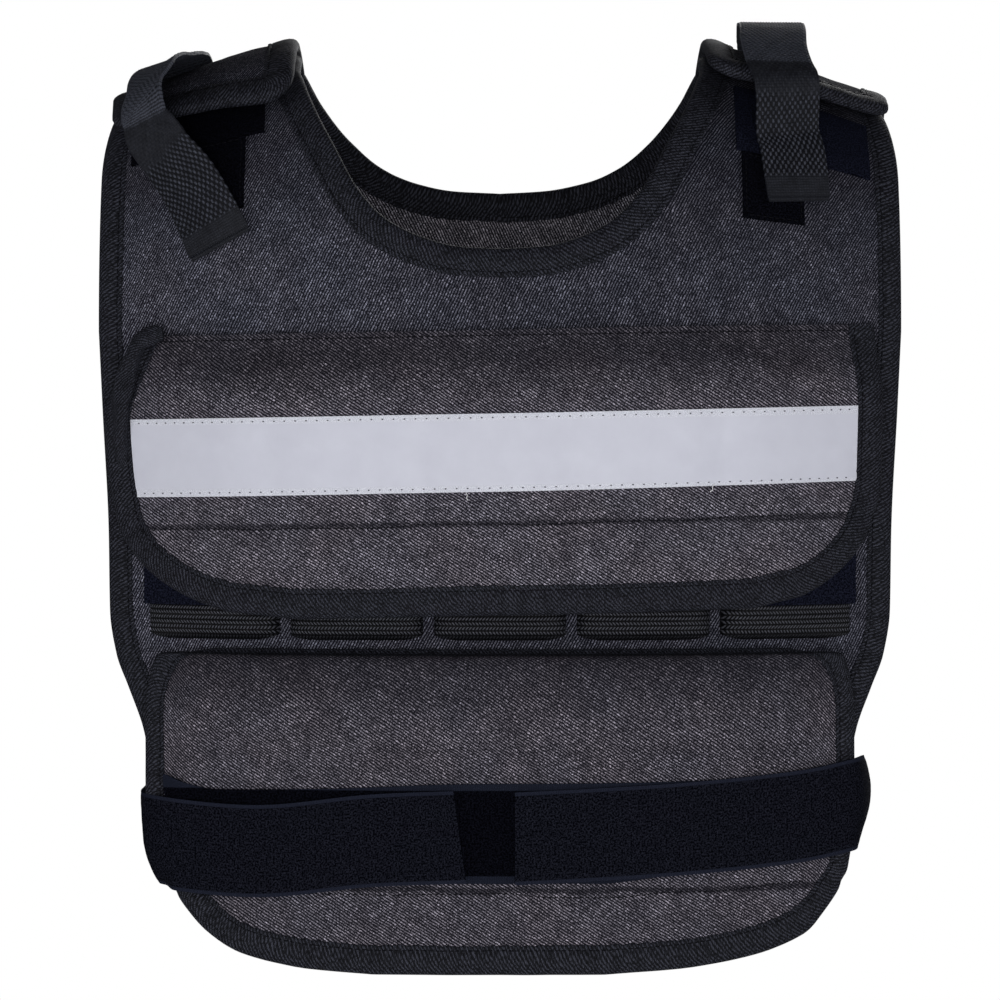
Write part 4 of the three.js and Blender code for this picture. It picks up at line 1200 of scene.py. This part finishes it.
def right_corner(below):
    """How much farther the cloth reaches on the right, where the flap's corner is tighter."""
    left = UPPER_FLAP_LENGTH - below
    wide = rounded_half(UPPER_FLAP_HALF_WIDTH, UPPER_FLAP_CORNER, left, UPPER_CORNER_WIDTH)
    return rounded_half(UPPER_FLAP_HALF_WIDTH, UPPER_FLAP_CORNER, left, RIGHT_CORNER_WIDTH) / wide


def flap_spread(x, p):
    return np.where(x < 0, left_waist(-p), right_corner(-p))


def flap_stretch(x):
    """The flap hangs a little shorter on the right, and a little longer on the left."""
    return 1 - SHORTER_RIGHT * smooth(x / FLAP_REACH) + LONGER_LEFT * smooth(-x / FLAP_REACH)


def askew(x, p):
    """Where a place of the upper flap's own cloth lies on the vest."""
    return x * flap_spread(x, p) + FLAP_SHIFT, p * flap_stretch(x) + FLAP_TILT * x


def straight(x, p):
    """The cloth's own place for a place on the vest, the reverse of askew."""
    x = x - FLAP_SHIFT
    p = (p - FLAP_TILT * x) / flap_stretch(x)
    return x / flap_spread(x, p), p


def pile_strip_high(x):
    return pocket_out(x) + 0.5 + PILE_THICKNESS


def upper_low(x, p):
    seam = PILE_BASE + WEDGE
    own_x, own_p = straight(x, p)
    below = -own_p
    full = pile_strip_high(x) + 0.5 + WEDGE
    rise = smooth(below / FLAP_RISE)
    puckers = noise(own_x, below, 16, 60, 61) * 1.1 * np.exp(-((below - 9) / 14) ** 2)
    dents = noise(own_x, below, 34, 30, 62) * 1.6 * np.exp(-((below - 22) / 18) ** 2)
    between = np.abs((own_x / POCKET_PITCH + 0.5) % 1 - 0.5) * POCKET_PITCH
    valleys = -0.9 * np.exp(-((between - POCKET_PITCH / 2) / 7) ** 2) * smooth((below - 30) / 20)
    broad = 1.0 * noise(own_x, below, 60, 42, 63) * smooth(below / 25)
    seam_path = below - HOOK_SEAM - 0.8 * noise(own_x, 0.0, 20, 1, 64)
    hook = 1.5 * groove(seam_path, 2.6) + 0.9 * np.exp(-((below - HOOK_SEAM - 17) / 13) ** 2)
    hook = hook + 0.45 * noise(own_x, below, 8, 30, 65) * np.exp(-((seam_path) / 7) ** 2)
    return blend(seam, full, rise) + puckers + dents + valleys + broad + hook


def upper_high(x, p):
    return upper_low(x, p) + FLAP_THICKNESS


corner_share = 1 - np.linspace(0, 1, 26) ** 1.7
flap_below = np.concatenate([
    np.linspace(0, UPPER_FLAP_LENGTH - UPPER_FLAP_CORNER, 48),
    UPPER_FLAP_LENGTH - UPPER_FLAP_CORNER * corner_share[1:],
])
flap_below = np.unique(np.clip(flap_below, 0, UPPER_FLAP_LENGTH))[::-1]
flap_outer = rounded_half(
    UPPER_FLAP_HALF_WIDTH, UPPER_FLAP_CORNER, UPPER_FLAP_LENGTH - flap_below, UPPER_CORNER_WIDTH
)
flap_halves = both_sides(-flap_below, np.zeros(len(flap_below)), flap_outer, FLAP_COLUMNS)
flap_grids = [askew(xs, ps) for xs, ps in flap_halves]
upper = cloth_piece("upper_flap_cloth", flap_grids, upper_high, FLAP_THICKNESS)
dress(upper, flap_denim, "flap_denim", "upper_flap")

# %% Upper flap binding
flap_path = np.stack(askew(*outer_path(-flap_below, flap_outer).T), axis=-1)
bind("upper_flap_tape", ["upper_flap_binding"], flap_path, upper_low, upper_high, -1, seed=66)

# %% The twisted start of the flap's binding, at its top left corner
KNOT = [
    # across, below, half width, lift
    (-178, 2, 3.0, 1.5), (-183, 2.5, 4.6, 3.0), (-188, 5, 5.2, 4.0), (-192, 12, 5.4, 4.2),
    (-194.5, 24, 5.4, 3.6), (-196, 40, 5.2, 3.0), (-196.5, 58, 4.6, 2.2), (-196.5, 74, 3.0, 0.4),
]
knot_x, knot_below, knot_half, knot_lift = through(KNOT, 70)
knot_centre = place(knot_x, -knot_below, upper_high(knot_x, -knot_below) + knot_lift)
knot_ahead = unit(np.gradient(knot_centre, axis=0))
knot_across = unit(np.cross(knot_ahead, form_slopes(knot_x, -knot_below)[2]))
knot_out = np.cross(knot_across, knot_ahead)
knot_run = run_along(knot_centre)
angles = np.linspace(0, 2 * math.pi, 24, endpoint=False)
fold = 1 + 0.16 * np.cos(2 * angles + knot_run[:, None] / 7)
fold = fold + 0.06 * np.cos(5 * angles - knot_run[:, None] / 4)
ring = knot_half[:, None] * fold
knot_rings = (knot_centre[:, None] + knot_across[:, None] * (ring * np.cos(angles))[..., None]
              + knot_out[:, None] * (0.6 * ring * np.sin(angles))[..., None])
knot = loft_piece("flap_binding_fold", knot_rings, knot_run, np.linspace(0, 30, 25))
dress(knot, binding_tape, "binding")


# %% Upper flap seams
def across_flap(below, half, lift, count=160):
    own_x = np.linspace(-half, half, count)
    x, p = askew(own_x, np.full(count, -below) if np.ndim(below) == 0 else -below)
    return seam_line(x, p, upper_high(x, p) + lift)


hook_x = np.linspace(-UPPER_FLAP_HALF_WIDTH + 14, UPPER_FLAP_HALF_WIDTH - 16, 200)
hook_below = HOOK_SEAM + 0.8 * noise(hook_x, 0.0, 20, 1, 64)
x, p = askew(hook_x, -hook_below)
seams = [seam_line(x, p, upper_high(x, p) + 0.1), across_flap(3.0, UPPER_FLAP_HALF_WIDTH - 12, 0.1)]
stitches("upper_flap_stitches", seams, black_thread, "flap_denim", pitch=3.4)

# %% [markdown]
# ## The silver stripe
# A tape of glass beads is sewn on along both edges. The dark needle holes and thread show as
# dots, and two loose ends of white thread stick out below it.

# %% Reflective stripe
stripe_half = UPPER_FLAP_HALF_WIDTH - BINDING_WIDTH + 1.5


def stripe_high(x, p):
    return upper_high(x, p) + 0.75


own_xs, own_ps = rectangle(-stripe_half, stripe_half, -STRIPE_TOP - STRIPE_WIDTH, -STRIPE_TOP, 2.6, 2.6)
stripe = cloth_piece("reflective_stripe_tape", [askew(own_xs, own_ps)], stripe_high, 0.6)
shift_map(stripe, STRIPE_TOP + STRIPE_WIDTH / 2, FLAP_TILT)
dress(stripe, silver_tape, "reflective", "reflective_stripe")
dot_rows = (STRIPE_TOP + 2.1, STRIPE_TOP + STRIPE_WIDTH - 2.0)
dots = [across_flap(below, stripe_half - 2, 0.78) for below in dot_rows]
stitches("stripe_stitches", dots, grey_thread, "reflective", pitch=5.9, length=1.0, radius=0.36)


# %% Loose thread ends
def thread_end(name, own_x, below, bends):
    x, p = askew(own_x, -below)
    start = place(x, p, upper_high(x, p) + 1.2)
    route = start + np.array(bends)
    halves = [blend(route[i], route[i + 1], t) for i in range(len(route) - 1) for t in (0, 0.5)]
    middle = np.array(halves + [route[-1]])
    ahead = unit(np.gradient(middle, axis=0))
    side = unit(np.cross(ahead, [0.0, 1.0, 0.1]))
    up = np.cross(side, ahead)
    ring = [(math.cos(a), math.sin(a)) for a in np.arange(6) * math.pi / 3]
    sections = np.stack([middle + 0.24 * (c * side + s * up) for c, s in ring], axis=1)
    piece = loft_piece(name, sections, np.arange(len(middle)) * 0.5, np.arange(7) * 0.25)
    dress(piece, white_thread, "reflective")


MIDDLE_BENDS = [(0, 0, 1), (0.8, -0.5, -0.4), (0.4, -0.8, -2.0), (1.2, -0.9, -3.1)]
RIGHT_BENDS = [(0, 0, 1), (-1.2, -0.5, -0.3), (-1.0, -0.9, -2.0), (-2.4, -0.9, -3.0)]
thread_end("thread_end_middle", -16, 87.5, MIDDLE_BENDS)
thread_end("thread_end_right", 111.5, 86.5, RIGHT_BENDS)

# %% Pile strip that closes the flap
PILE_STRIP_HALF_WIDTH = 187.5
PILE_STRIP_TOP = 100
PILE_STRIP_WIDTH = 48


def strip_high(x, p):
    return pile_strip_high(x) + 0.15 * noise(x, p, 9, 9, 71)


strip_grid = rectangle(-PILE_STRIP_HALF_WIDTH, PILE_STRIP_HALF_WIDTH,
                       -PILE_STRIP_TOP - PILE_STRIP_WIDTH, -PILE_STRIP_TOP)
strip = cloth_piece("upper_pile_strip_cloth", [strip_grid], strip_high, PILE_THICKNESS)
dress(strip, strip_pile, "pile", "upper_pile_strip")

# %% [markdown]
# ## The lower flap
# The lower flap is bound all round. The row of weights behind it makes a long pillow along its
# top, the belt pulls it flat below that, and its hem is one layer with a wavy seam.

# %% Lower flap cloth
LOWER_FLAP_HALF_WIDTH = 185
LOWER_FLAP_LENGTH = 168.5
LOWER_FLAP_CORNER = 46
ROLL_LENGTH = 14
ROLL_REACH = 20
TOP_CURL = 2.5
TOP_RAISE = 4
SIDE_ROLL = 160
SIDE_TURN = 0.7
LOWER_FLAP_LIE = 12
LOWER_BULGE = 12
LOWER_COLUMNS = 88
lower_outline = Curve(
    (0, 1), (0.52, 1), (0.62, 0.978), (0.7, 0.955), (0.78, 0.922), (0.86, 0.866), (0.93, 0.757),
    (0.98, 0.56), (1, 0.33),
)
lower_shift = Curve((0, 0), (0.5, 0), (0.74, 5), (0.88, 4), (0.95, 0), (1, -6))
lower_swell = Curve(
    (0, 0.5), (0.09, 0.82), (0.17, 1), (0.25, 0.8), (0.34, 0.05), (0.79, 0), (0.88, 0.12), (1, 0.14)
)


def lower_share(p):
    return (-p - LOWER_FLAP_TOP) / LOWER_FLAP_LENGTH


def lower_lay(x, p, out):
    """The flap's top and sides roll back round the weights, so they are seen foreshortened."""
    x, p, out = np.broadcast_arrays(np.asarray(x, float), np.asarray(p, float), out)
    down = -p - LOWER_FLAP_TOP
    start = ROLL_REACH - ROLL_LENGTH
    rolled = clamp((down + ROLL_LENGTH) / ROLL_REACH)
    curled = TOP_CURL + (start - TOP_CURL) * rolled**6 + np.minimum(0, down + ROLL_LENGTH)
    seen = np.where(down < start, curled, down) - TOP_RAISE * (1 - smooth(down / 60))
    beyond = np.maximum(0, np.abs(x) - SIDE_ROLL)
    turned = np.sign(x) * (np.abs(x) - (1 - SIDE_TURN) * beyond**2 / (beyond + 6))
    return place(turned, -(LOWER_FLAP_TOP + seen), out)


def lower_seam_at(x):
    return LOWER_SEAM + 1.6 * noise(x, 0.0, 30, 1, 81) - 5.0 * smooth((x - 60) / 130)


def lower_low(x, p):
    down = -p - LOWER_FLAP_TOP
    swell = lower_swell(lower_share(p)) * side_fall(x, LOWER_FLAP_HALF_WIDTH)
    roll = 11 * clamp((ROLL_REACH - ROLL_LENGTH - down) / ROLL_REACH) ** 1.5
    roll = roll * (0.45 + 0.55 * side_fall(x, LOWER_FLAP_HALF_WIDTH))
    broad = 1.1 * noise(x, p, 55, 40, 82) * smooth(down / 20) * smooth((66 - down) / 14)
    dents = 1.2 * noise(x, p, 18, 30, 83) * np.exp(-((down - 10) / 14) ** 2)
    sewn = down - lower_seam_at(x)
    hem = 1.5 * groove(sewn, 2.6) + 0.8 * np.exp(-((sewn + 6) / 3.5) ** 2)
    hem = hem + 1.0 * noise(x, p, 14, 30, 84) * smooth((down - 118) / 8)
    return LOWER_FLAP_LIE + LOWER_BULGE * swell - roll + broad + dents + hem


def lower_high(x, p):
    return lower_low(x, p) + FLAP_THICKNESS


down_rows = np.concatenate([
    -ROLL_LENGTH + LOWER_FLAP_CORNER * np.linspace(0, 1, 22) ** 1.6,
    np.linspace(LOWER_FLAP_CORNER - ROLL_LENGTH, LOWER_FLAP_LENGTH * 0.93, 52)[1:],
    LOWER_FLAP_LENGTH * (1 - 0.07 * np.linspace(1, 0, 16) ** 1.6)[1:],
])[::-1]
side_half = SIDE_ROLL + (LOWER_FLAP_HALF_WIDTH - SIDE_ROLL) / SIDE_TURN - 2
lower_outer = rounded_half(side_half, LOWER_FLAP_CORNER, down_rows + ROLL_LENGTH, LOWER_FLAP_CORNER)
narrowed = lower_outline(down_rows / LOWER_FLAP_LENGTH)
lower_outer = lower_outer - (1 - narrowed) * LOWER_FLAP_HALF_WIDTH - (side_half - LOWER_FLAP_HALF_WIDTH) * (
    smooth((1 - narrowed) / 0.12)
)
lower_p = -(LOWER_FLAP_TOP + down_rows)
lower_grids = [(xs + lower_shift(lower_share(ps)), ps)
               for xs, ps in both_sides(lower_p, np.zeros(len(lower_p)), lower_outer, LOWER_COLUMNS)]
lower = cloth_piece("lower_flap_cloth", lower_grids, lower_high, FLAP_THICKNESS, lower_lay)
dress(lower, lower_denim, "flap_denim", "lower_flap")

# %% Lower flap binding and seam
bottom = outer_path(lower_p, lower_outer)
bottom[:, 0] += lower_shift(lower_share(bottom[:, 1]))
top_x = np.linspace(lower_outer[-1], -lower_outer[-1], 60)[1:-1]
around = np.concatenate([bottom, np.stack([-top_x, np.full(58, lower_p[-1])], axis=-1)])
bind("lower_flap_tape", ["lower_flap_binding"], around, lower_low, lower_high, -1, looped=True, seed=85,
     lay=lower_lay)
seam_x = np.linspace(-LOWER_FLAP_HALF_WIDTH * 0.86, LOWER_FLAP_HALF_WIDTH * 0.88, 160)
seam_p = -(LOWER_FLAP_TOP + lower_seam_at(seam_x))
stitches("lower_flap_stitches", [seam_line(seam_x, seam_p, lower_high(seam_x, seam_p) + 0.1, lower_lay)],
         black_thread, "flap_denim", pitch=3.4)

# %% Hidden row of lower weights
LOWER_ROW_INSET = 26
ROW_START_SHARE = 0.03
ROW_END_SHARE = 0.62
row_half = LOWER_FLAP_HALF_WIDTH - LOWER_ROW_INSET


def weight_row_high(x, p):
    share = lower_share(p)
    rise = smooth((share - ROW_START_SHARE) / 0.1) * smooth((ROW_END_SHARE - share) / 0.06)
    return blend(PILE_BASE + 1.5, lower_low(x, p) - 2.5, rise)


row_grid = rectangle(-row_half, row_half, -(LOWER_FLAP_TOP + ROW_END_SHARE * LOWER_FLAP_LENGTH),
                     -(LOWER_FLAP_TOP + ROW_START_SHARE * LOWER_FLAP_LENGTH))
weight_row = cloth_piece("lower_weight_row_elastic", [row_grid], weight_row_high, 1.5)
dress(weight_row, elastic, "elastic", "lower_weight_row")

# %% Pile patch under the belt
BELT_TOP = 246
BELT_PATCH_REACH = 180
PATCH_MARGIN = 3
PATCH_NARROWING = 0.09
PATCH_TRIM = 16
PATCH_TRIM_FROM = 50
PATCH_TRIM_LENGTH = 110
patch_wave = Curve((-178, -3), (-166, 1), (-150, 4.5), (-95, 3.4), (-20, 0.5), (60, 0), (178, -3))


def belt_patch_high(x, p):
    over_tape = 2.3 * smooth((np.abs(x) - 160) / 6)
    return lower_high(x, p) + 0.5 + PILE_THICKNESS + over_tape


xs, ps = rectangle(-BELT_PATCH_REACH, BELT_PATCH_REACH,
                   -(BELT_TOP + BELT_WIDTH + 1), -(BELT_TOP - PATCH_MARGIN))
sag = smooth((ps + BELT_TOP + 25) / 20)
down_belt = (-ps - BELT_TOP) / BELT_WIDTH
xs = xs * (1 - PATCH_NARROWING * smooth(down_belt))
ps = ps + PATCH_TRIM * smooth((xs - PATCH_TRIM_FROM) / PATCH_TRIM_LENGTH) * clamp(down_belt)
belt_patch = cloth_piece("belt_pile_patch_cloth", [(xs, ps - patch_wave(xs) * sag)], belt_patch_high,
                         PILE_THICKNESS, lower_lay)
shift_map(belt_patch, BELT_TOP + BELT_WIDTH / 2 - 1)
dress(belt_patch, belt_patch_pile, "pile", "belt_pile_patch")

# %% [markdown]
# ## Straps and belt
# Webbing and pile tape bend along their length and stay nearly flat across it. So each one is a
# route of stations, with a direction across and a direction out at every station, and a fine grid
# is laid along it. The webbing's plump yarns are raised on that grid.


# %% Bands along a route
def band_piece(name, centres, across, out, width, thickness, relief, columns, end_skew=0.0, cup=None):
    run = run_along(centres)
    side, along = np.meshgrid(np.linspace(-width / 2, width / 2, columns), run)
    lift = thickness + relief(side, along)
    if cup is not None:
        low, high = (amount[:, None] for amount in cup)
        to_edge = side / (width / 2)
        lift = lift - low * clamp(-to_edge) ** 2 - high * clamp(to_edge) ** 2
    points = centres[:, None] + across[:, None] * side[..., None] + out[:, None] * lift[..., None]
    ahead = unit(np.gradient(centres, axis=0))
    skew = end_skew * (side / width + 0.5) * (1 - smooth(along / 25))
    points = points + ahead[:, None] * skew[..., None]
    index = np.arange(points.shape[0] * columns).reshape(points.shape[:2])
    quad = [index[:-1, :-1], index[:-1, 1:], index[1:, 1:], index[1:, :-1]]
    faces = np.stack(quad, axis=-1).reshape(-1, 4)
    flat = np.stack([side, along], axis=-1).reshape(-1, 2)
    a, b, c = (points.reshape(-1, 3)[faces[0, k]] for k in (0, 1, 2))
    if np.dot(np.cross(b - a, c - a), out[0]) < 0:
        faces = faces[:, ::-1]
    piece = piece_from(name, points.reshape(-1, 3), faces.tolist(), flat[faces])
    thicken(piece, thickness)
    round_off(piece)
    return piece


# %% Webbing straps
WEBBING_WIDTH = 37
WEBBING_THICKNESS = 1.8
LOOP_RISE = 18
STRAP_FALL = 34
TONGUE_MARGIN = 8
HOOK_STATIONS = 60
HOOK_OVERHANG = 2.4
HOOK_UNDER = 0.1
RIGHT_STRAP = [
    (1.5, 0.66, 0, 0), (1.36, 0.674, 0.36, 4), (1.22, 0.677, 0.66, 8), (1.1, 0.66, 0.84, 13),
    (1, 0.654, 0.85, 16), (0.9, 0.656, 0.75, 12), (0.8, 0.655, 0.51, 9), (0.7, 0.662, 0.29, 9),
    (0.62, 0.676, 0.18, 8), (0.56, 0.695, 0.17, 6), (0.49, 0.715, 0.18, 4), (0.42, 0.724, 0.12, 3),
    (0.345, 0.735, 0, 0),
]
LEFT_STRAP = [
    (1.5, -0.79, 0, 0), (1.36, -0.79, 0.02, 0), (1.22, -0.795, 0.08, 0), (1.1, -0.795, 0.134, -2),
    (1, -0.8, 0.21, -2.7), (0.9, -0.813, 0.325, 0.2), (0.8, -0.825, 0.507, 9.5), (0.7, -0.827, 0.723, 22.6),
    (0.62, -0.838, 0.803, 29.6), (0.55, -0.834, 0.8, 33), (0.47, -0.804, 0.58, 33), (0.38, -0.757, 0.25, 20),
    (0.215, -0.688, 0, 0),
]


def strap_route(table, count=320):
    over, side, lift, roll = through(table[::-1], count)
    x, p = side * HALF_WIDTH, over * QUARTER
    on_tongue = smooth((p - tongue_end(x) + STRAP_FALL) / (STRAP_FALL - TONGUE_MARGIN))
    under = blend(PILE_BASE + PILE_THICKNESS, back_high(x, p) + WEDGE, on_tongue)
    centre = place(x, p, under + 0.6 + lift * LOOP_RISE)
    ahead = unit(np.gradient(centre, axis=0))
    across = unit(np.cross(form_slopes(x, p)[2], ahead))
    out = np.cross(ahead, across)
    turn = -np.radians(roll)[:, None]
    rolled = across * np.cos(turn) + out * np.sin(turn)
    return centre, rolled, np.cross(ahead, rolled)


def plain_face(side, along):
    return 0 * side


def basket_weave(side, along):
    lanes = side / LANE
    cord = 1 - 2 * np.abs(lanes % 1 - 0.5)
    bump = np.sin(2 * math.pi * (along / YARN_ALONG + 0.5 * (np.floor(lanes) % 2)))
    edge = smooth((WEBBING_WIDTH / 2 - np.abs(side)) / 2.0)
    hem = smooth((along - 11) / 2)
    sewn = 0.35 * groove(along - 12, 0.8) ** 2
    return 0.3 * bump * smooth(cord * 1.5) * edge * hem - 0.3 * (1 - edge) - sewn


for side, table in (("left", LEFT_STRAP), ("right", RIGHT_STRAP)):
    centre, across, out = strap_route(table)
    strap = band_piece(f"shoulder_strap_{side}_webbing", centre, across, out, WEBBING_WIDTH,
                       WEBBING_THICKNESS, basket_weave, 92)
    dress(strap, webbing, "webbing", f"shoulder_strap_{side}")
    tip = centre[0] - unit(centre[1] - centre[0]) * HOOK_OVERHANG
    hook_across = np.concatenate([across[:1], across[:HOOK_STATIONS]])
    hook_out = np.concatenate([out[:1], out[:HOOK_STATIONS]])
    hook_centre = np.concatenate([tip[None], centre[:HOOK_STATIONS]]) - hook_out * HOOK_UNDER
    hook = band_piece(f"shoulder_strap_{side}_hook", hook_centre, hook_across, hook_out,
                      WEBBING_WIDTH - 1, 0.5, plain_face, 30)
    dress(hook, webbing, "webbing")
    for piece, width, route in ((strap, WEBBING_WIDTH, centre), (hook, WEBBING_WIDTH - 1, hook_centre)):
        run = steps_between(route).sum()
        print(piece.name, "run:", round(run, 1), "mm")

# %% Belt of loop pile
BELT_THICKNESS = 2
BELT_ENDS = {"left": 18, "right": 8}
BELT_SIDE_OUT = {"left": 188, "right": 204}
BELT_CUP = {"left": (13, 2), "right": (8, 7)}
BELT_CUP_FROM = {"left": 175, "right": 191}
BELT_SIDE_LEANS = {"left": 0.34, "right": 0.15}
BELT_BACK_END = 12
BELT_SKEW = {"left": 7.0, "right": 0.0}
BELT_LIFT = 2.4
BELT_LIFT_FROM = 135
BELT_LIFT_LENGTH = 30
CUP_LENGTH = 13
CUP_BACK_END = 40
CUP_BACK_FADE = 60
SOFTENING_ROUNDS = 30
BELT_SIDE_SQUARENESS = 0.7
BELT_SIDE_TURN = 0.6
LEFT_WAVE = Curve((0, 0), (0.35, 0.05), (0.7, 0.19), (1, 0.1))
RIGHT_WAVE = Curve((0, 0.04), (0.5, -0.06), (0.85, -0.18), (1, -0.3))
belt_middle = BELT_TOP + BELT_WIDTH / 2
belt_out = LOWER_FLAP_LIE + FLAP_THICKNESS + WEDGE + 0.5
belt_back_out = PANEL_THICKNESS + WEDGE + 1


def belt_route(sign, front_end, side_out, lean, wave):
    reach = LOWER_FLAP_HALF_WIDTH
    front_x = np.linspace(front_end, reach + 2 * WEDGE, 90)
    drop = wave(front_x / reach) * BELT_WIDTH
    front_p = -(belt_middle + drop)
    lifted = BELT_LIFT * smooth((front_x - BELT_LIFT_FROM) / BELT_LIFT_LENGTH)
    front_c = place(sign * front_x, front_p, belt_out + lifted)
    _, along, out = form_slopes(sign * front_x, front_p)
    front_a, front_o = unit(along), out
    back_x = np.linspace(body_half(BELT_TOP) + 2 * WEDGE, BELT_BACK_END, 90)
    back_p = np.full(90, BACK_CHEST + belt_middle)
    back_c = place(sign * back_x, back_p, np.full(90, belt_back_out))
    _, along, out = form_slopes(sign * back_x, back_p)
    back_a, back_o = -unit(along), out
    t = np.linspace(0, 1, 40)[1:-1]
    bow = np.sin(math.pi * t) ** BELT_SIDE_SQUARENESS
    x = blend(blend(abs(front_c[-1, 0]), abs(back_c[0, 0]), t), side_out, bow)
    z = -CHEST_DROP - belt_middle - drop[-1] * (1 - smooth(t))
    side_c = np.stack([sign * x, blend(front_c[-1, 1], back_c[0, 1], t), z], axis=-1)
    side_a = unit(np.stack([sign * lean * bow, 0 * t, 1 + 0 * t], axis=-1))
    side_o = unit(np.stack([sign * bow, blend(-1, 1, t) * BELT_SIDE_TURN, 0 * t], axis=-1))
    return [np.concatenate(parts) for parts in ((front_c, side_c, back_c), (front_a, side_a, back_a),
                                                (front_o, side_o, back_o))]


def soften(values):
    values = values.copy()
    for _ in range(SOFTENING_ROUNDS):
        values[1:-1] = (values[:-2] + 2 * values[1:-1] + values[2:]) / 4
    return values


def pile_relief(side, along):
    edge = smooth((np.abs(side) - (BELT_WIDTH / 2 - SELVEDGE - 0.8)) / 1.2)
    loops = (1 - edge) * (0.25 + 0.12 * noise(side, along, 3, 3, 91))
    return loops + 0.25 * noise(side, along, 30, 45, 92)


for side, sign, wave in (("left", -1, LEFT_WAVE), ("right", 1, RIGHT_WAVE)):
    route = belt_route(sign, BELT_ENDS[side], BELT_SIDE_OUT[side], BELT_SIDE_LEANS[side], wave)
    centre, across, out = (soften(values) for values in route)
    across, out = unit(across), unit(out)
    turned = smooth((np.abs(centre[:, 0]) - BELT_CUP_FROM[side]) / CUP_LENGTH)
    turned = turned * smooth((CUP_BACK_END - centre[:, 1]) / CUP_BACK_FADE)
    cup = [amount * turned for amount in BELT_CUP[side]]
    belt = band_piece(f"belt_{side}_pile", centre, across, out, BELT_WIDTH, BELT_THICKNESS - 0.3,
                      pile_relief, 40, end_skew=BELT_SKEW[side], cup=cup)
    dress(belt, belt_pile, "belt_pile", f"belt_{side}")
    run = steps_between(centre).sum()
    print(belt.name, "run:", round(run, 1), "mm")

# %% Finish
bpy.ops.object.select_all(action="DESELECT")
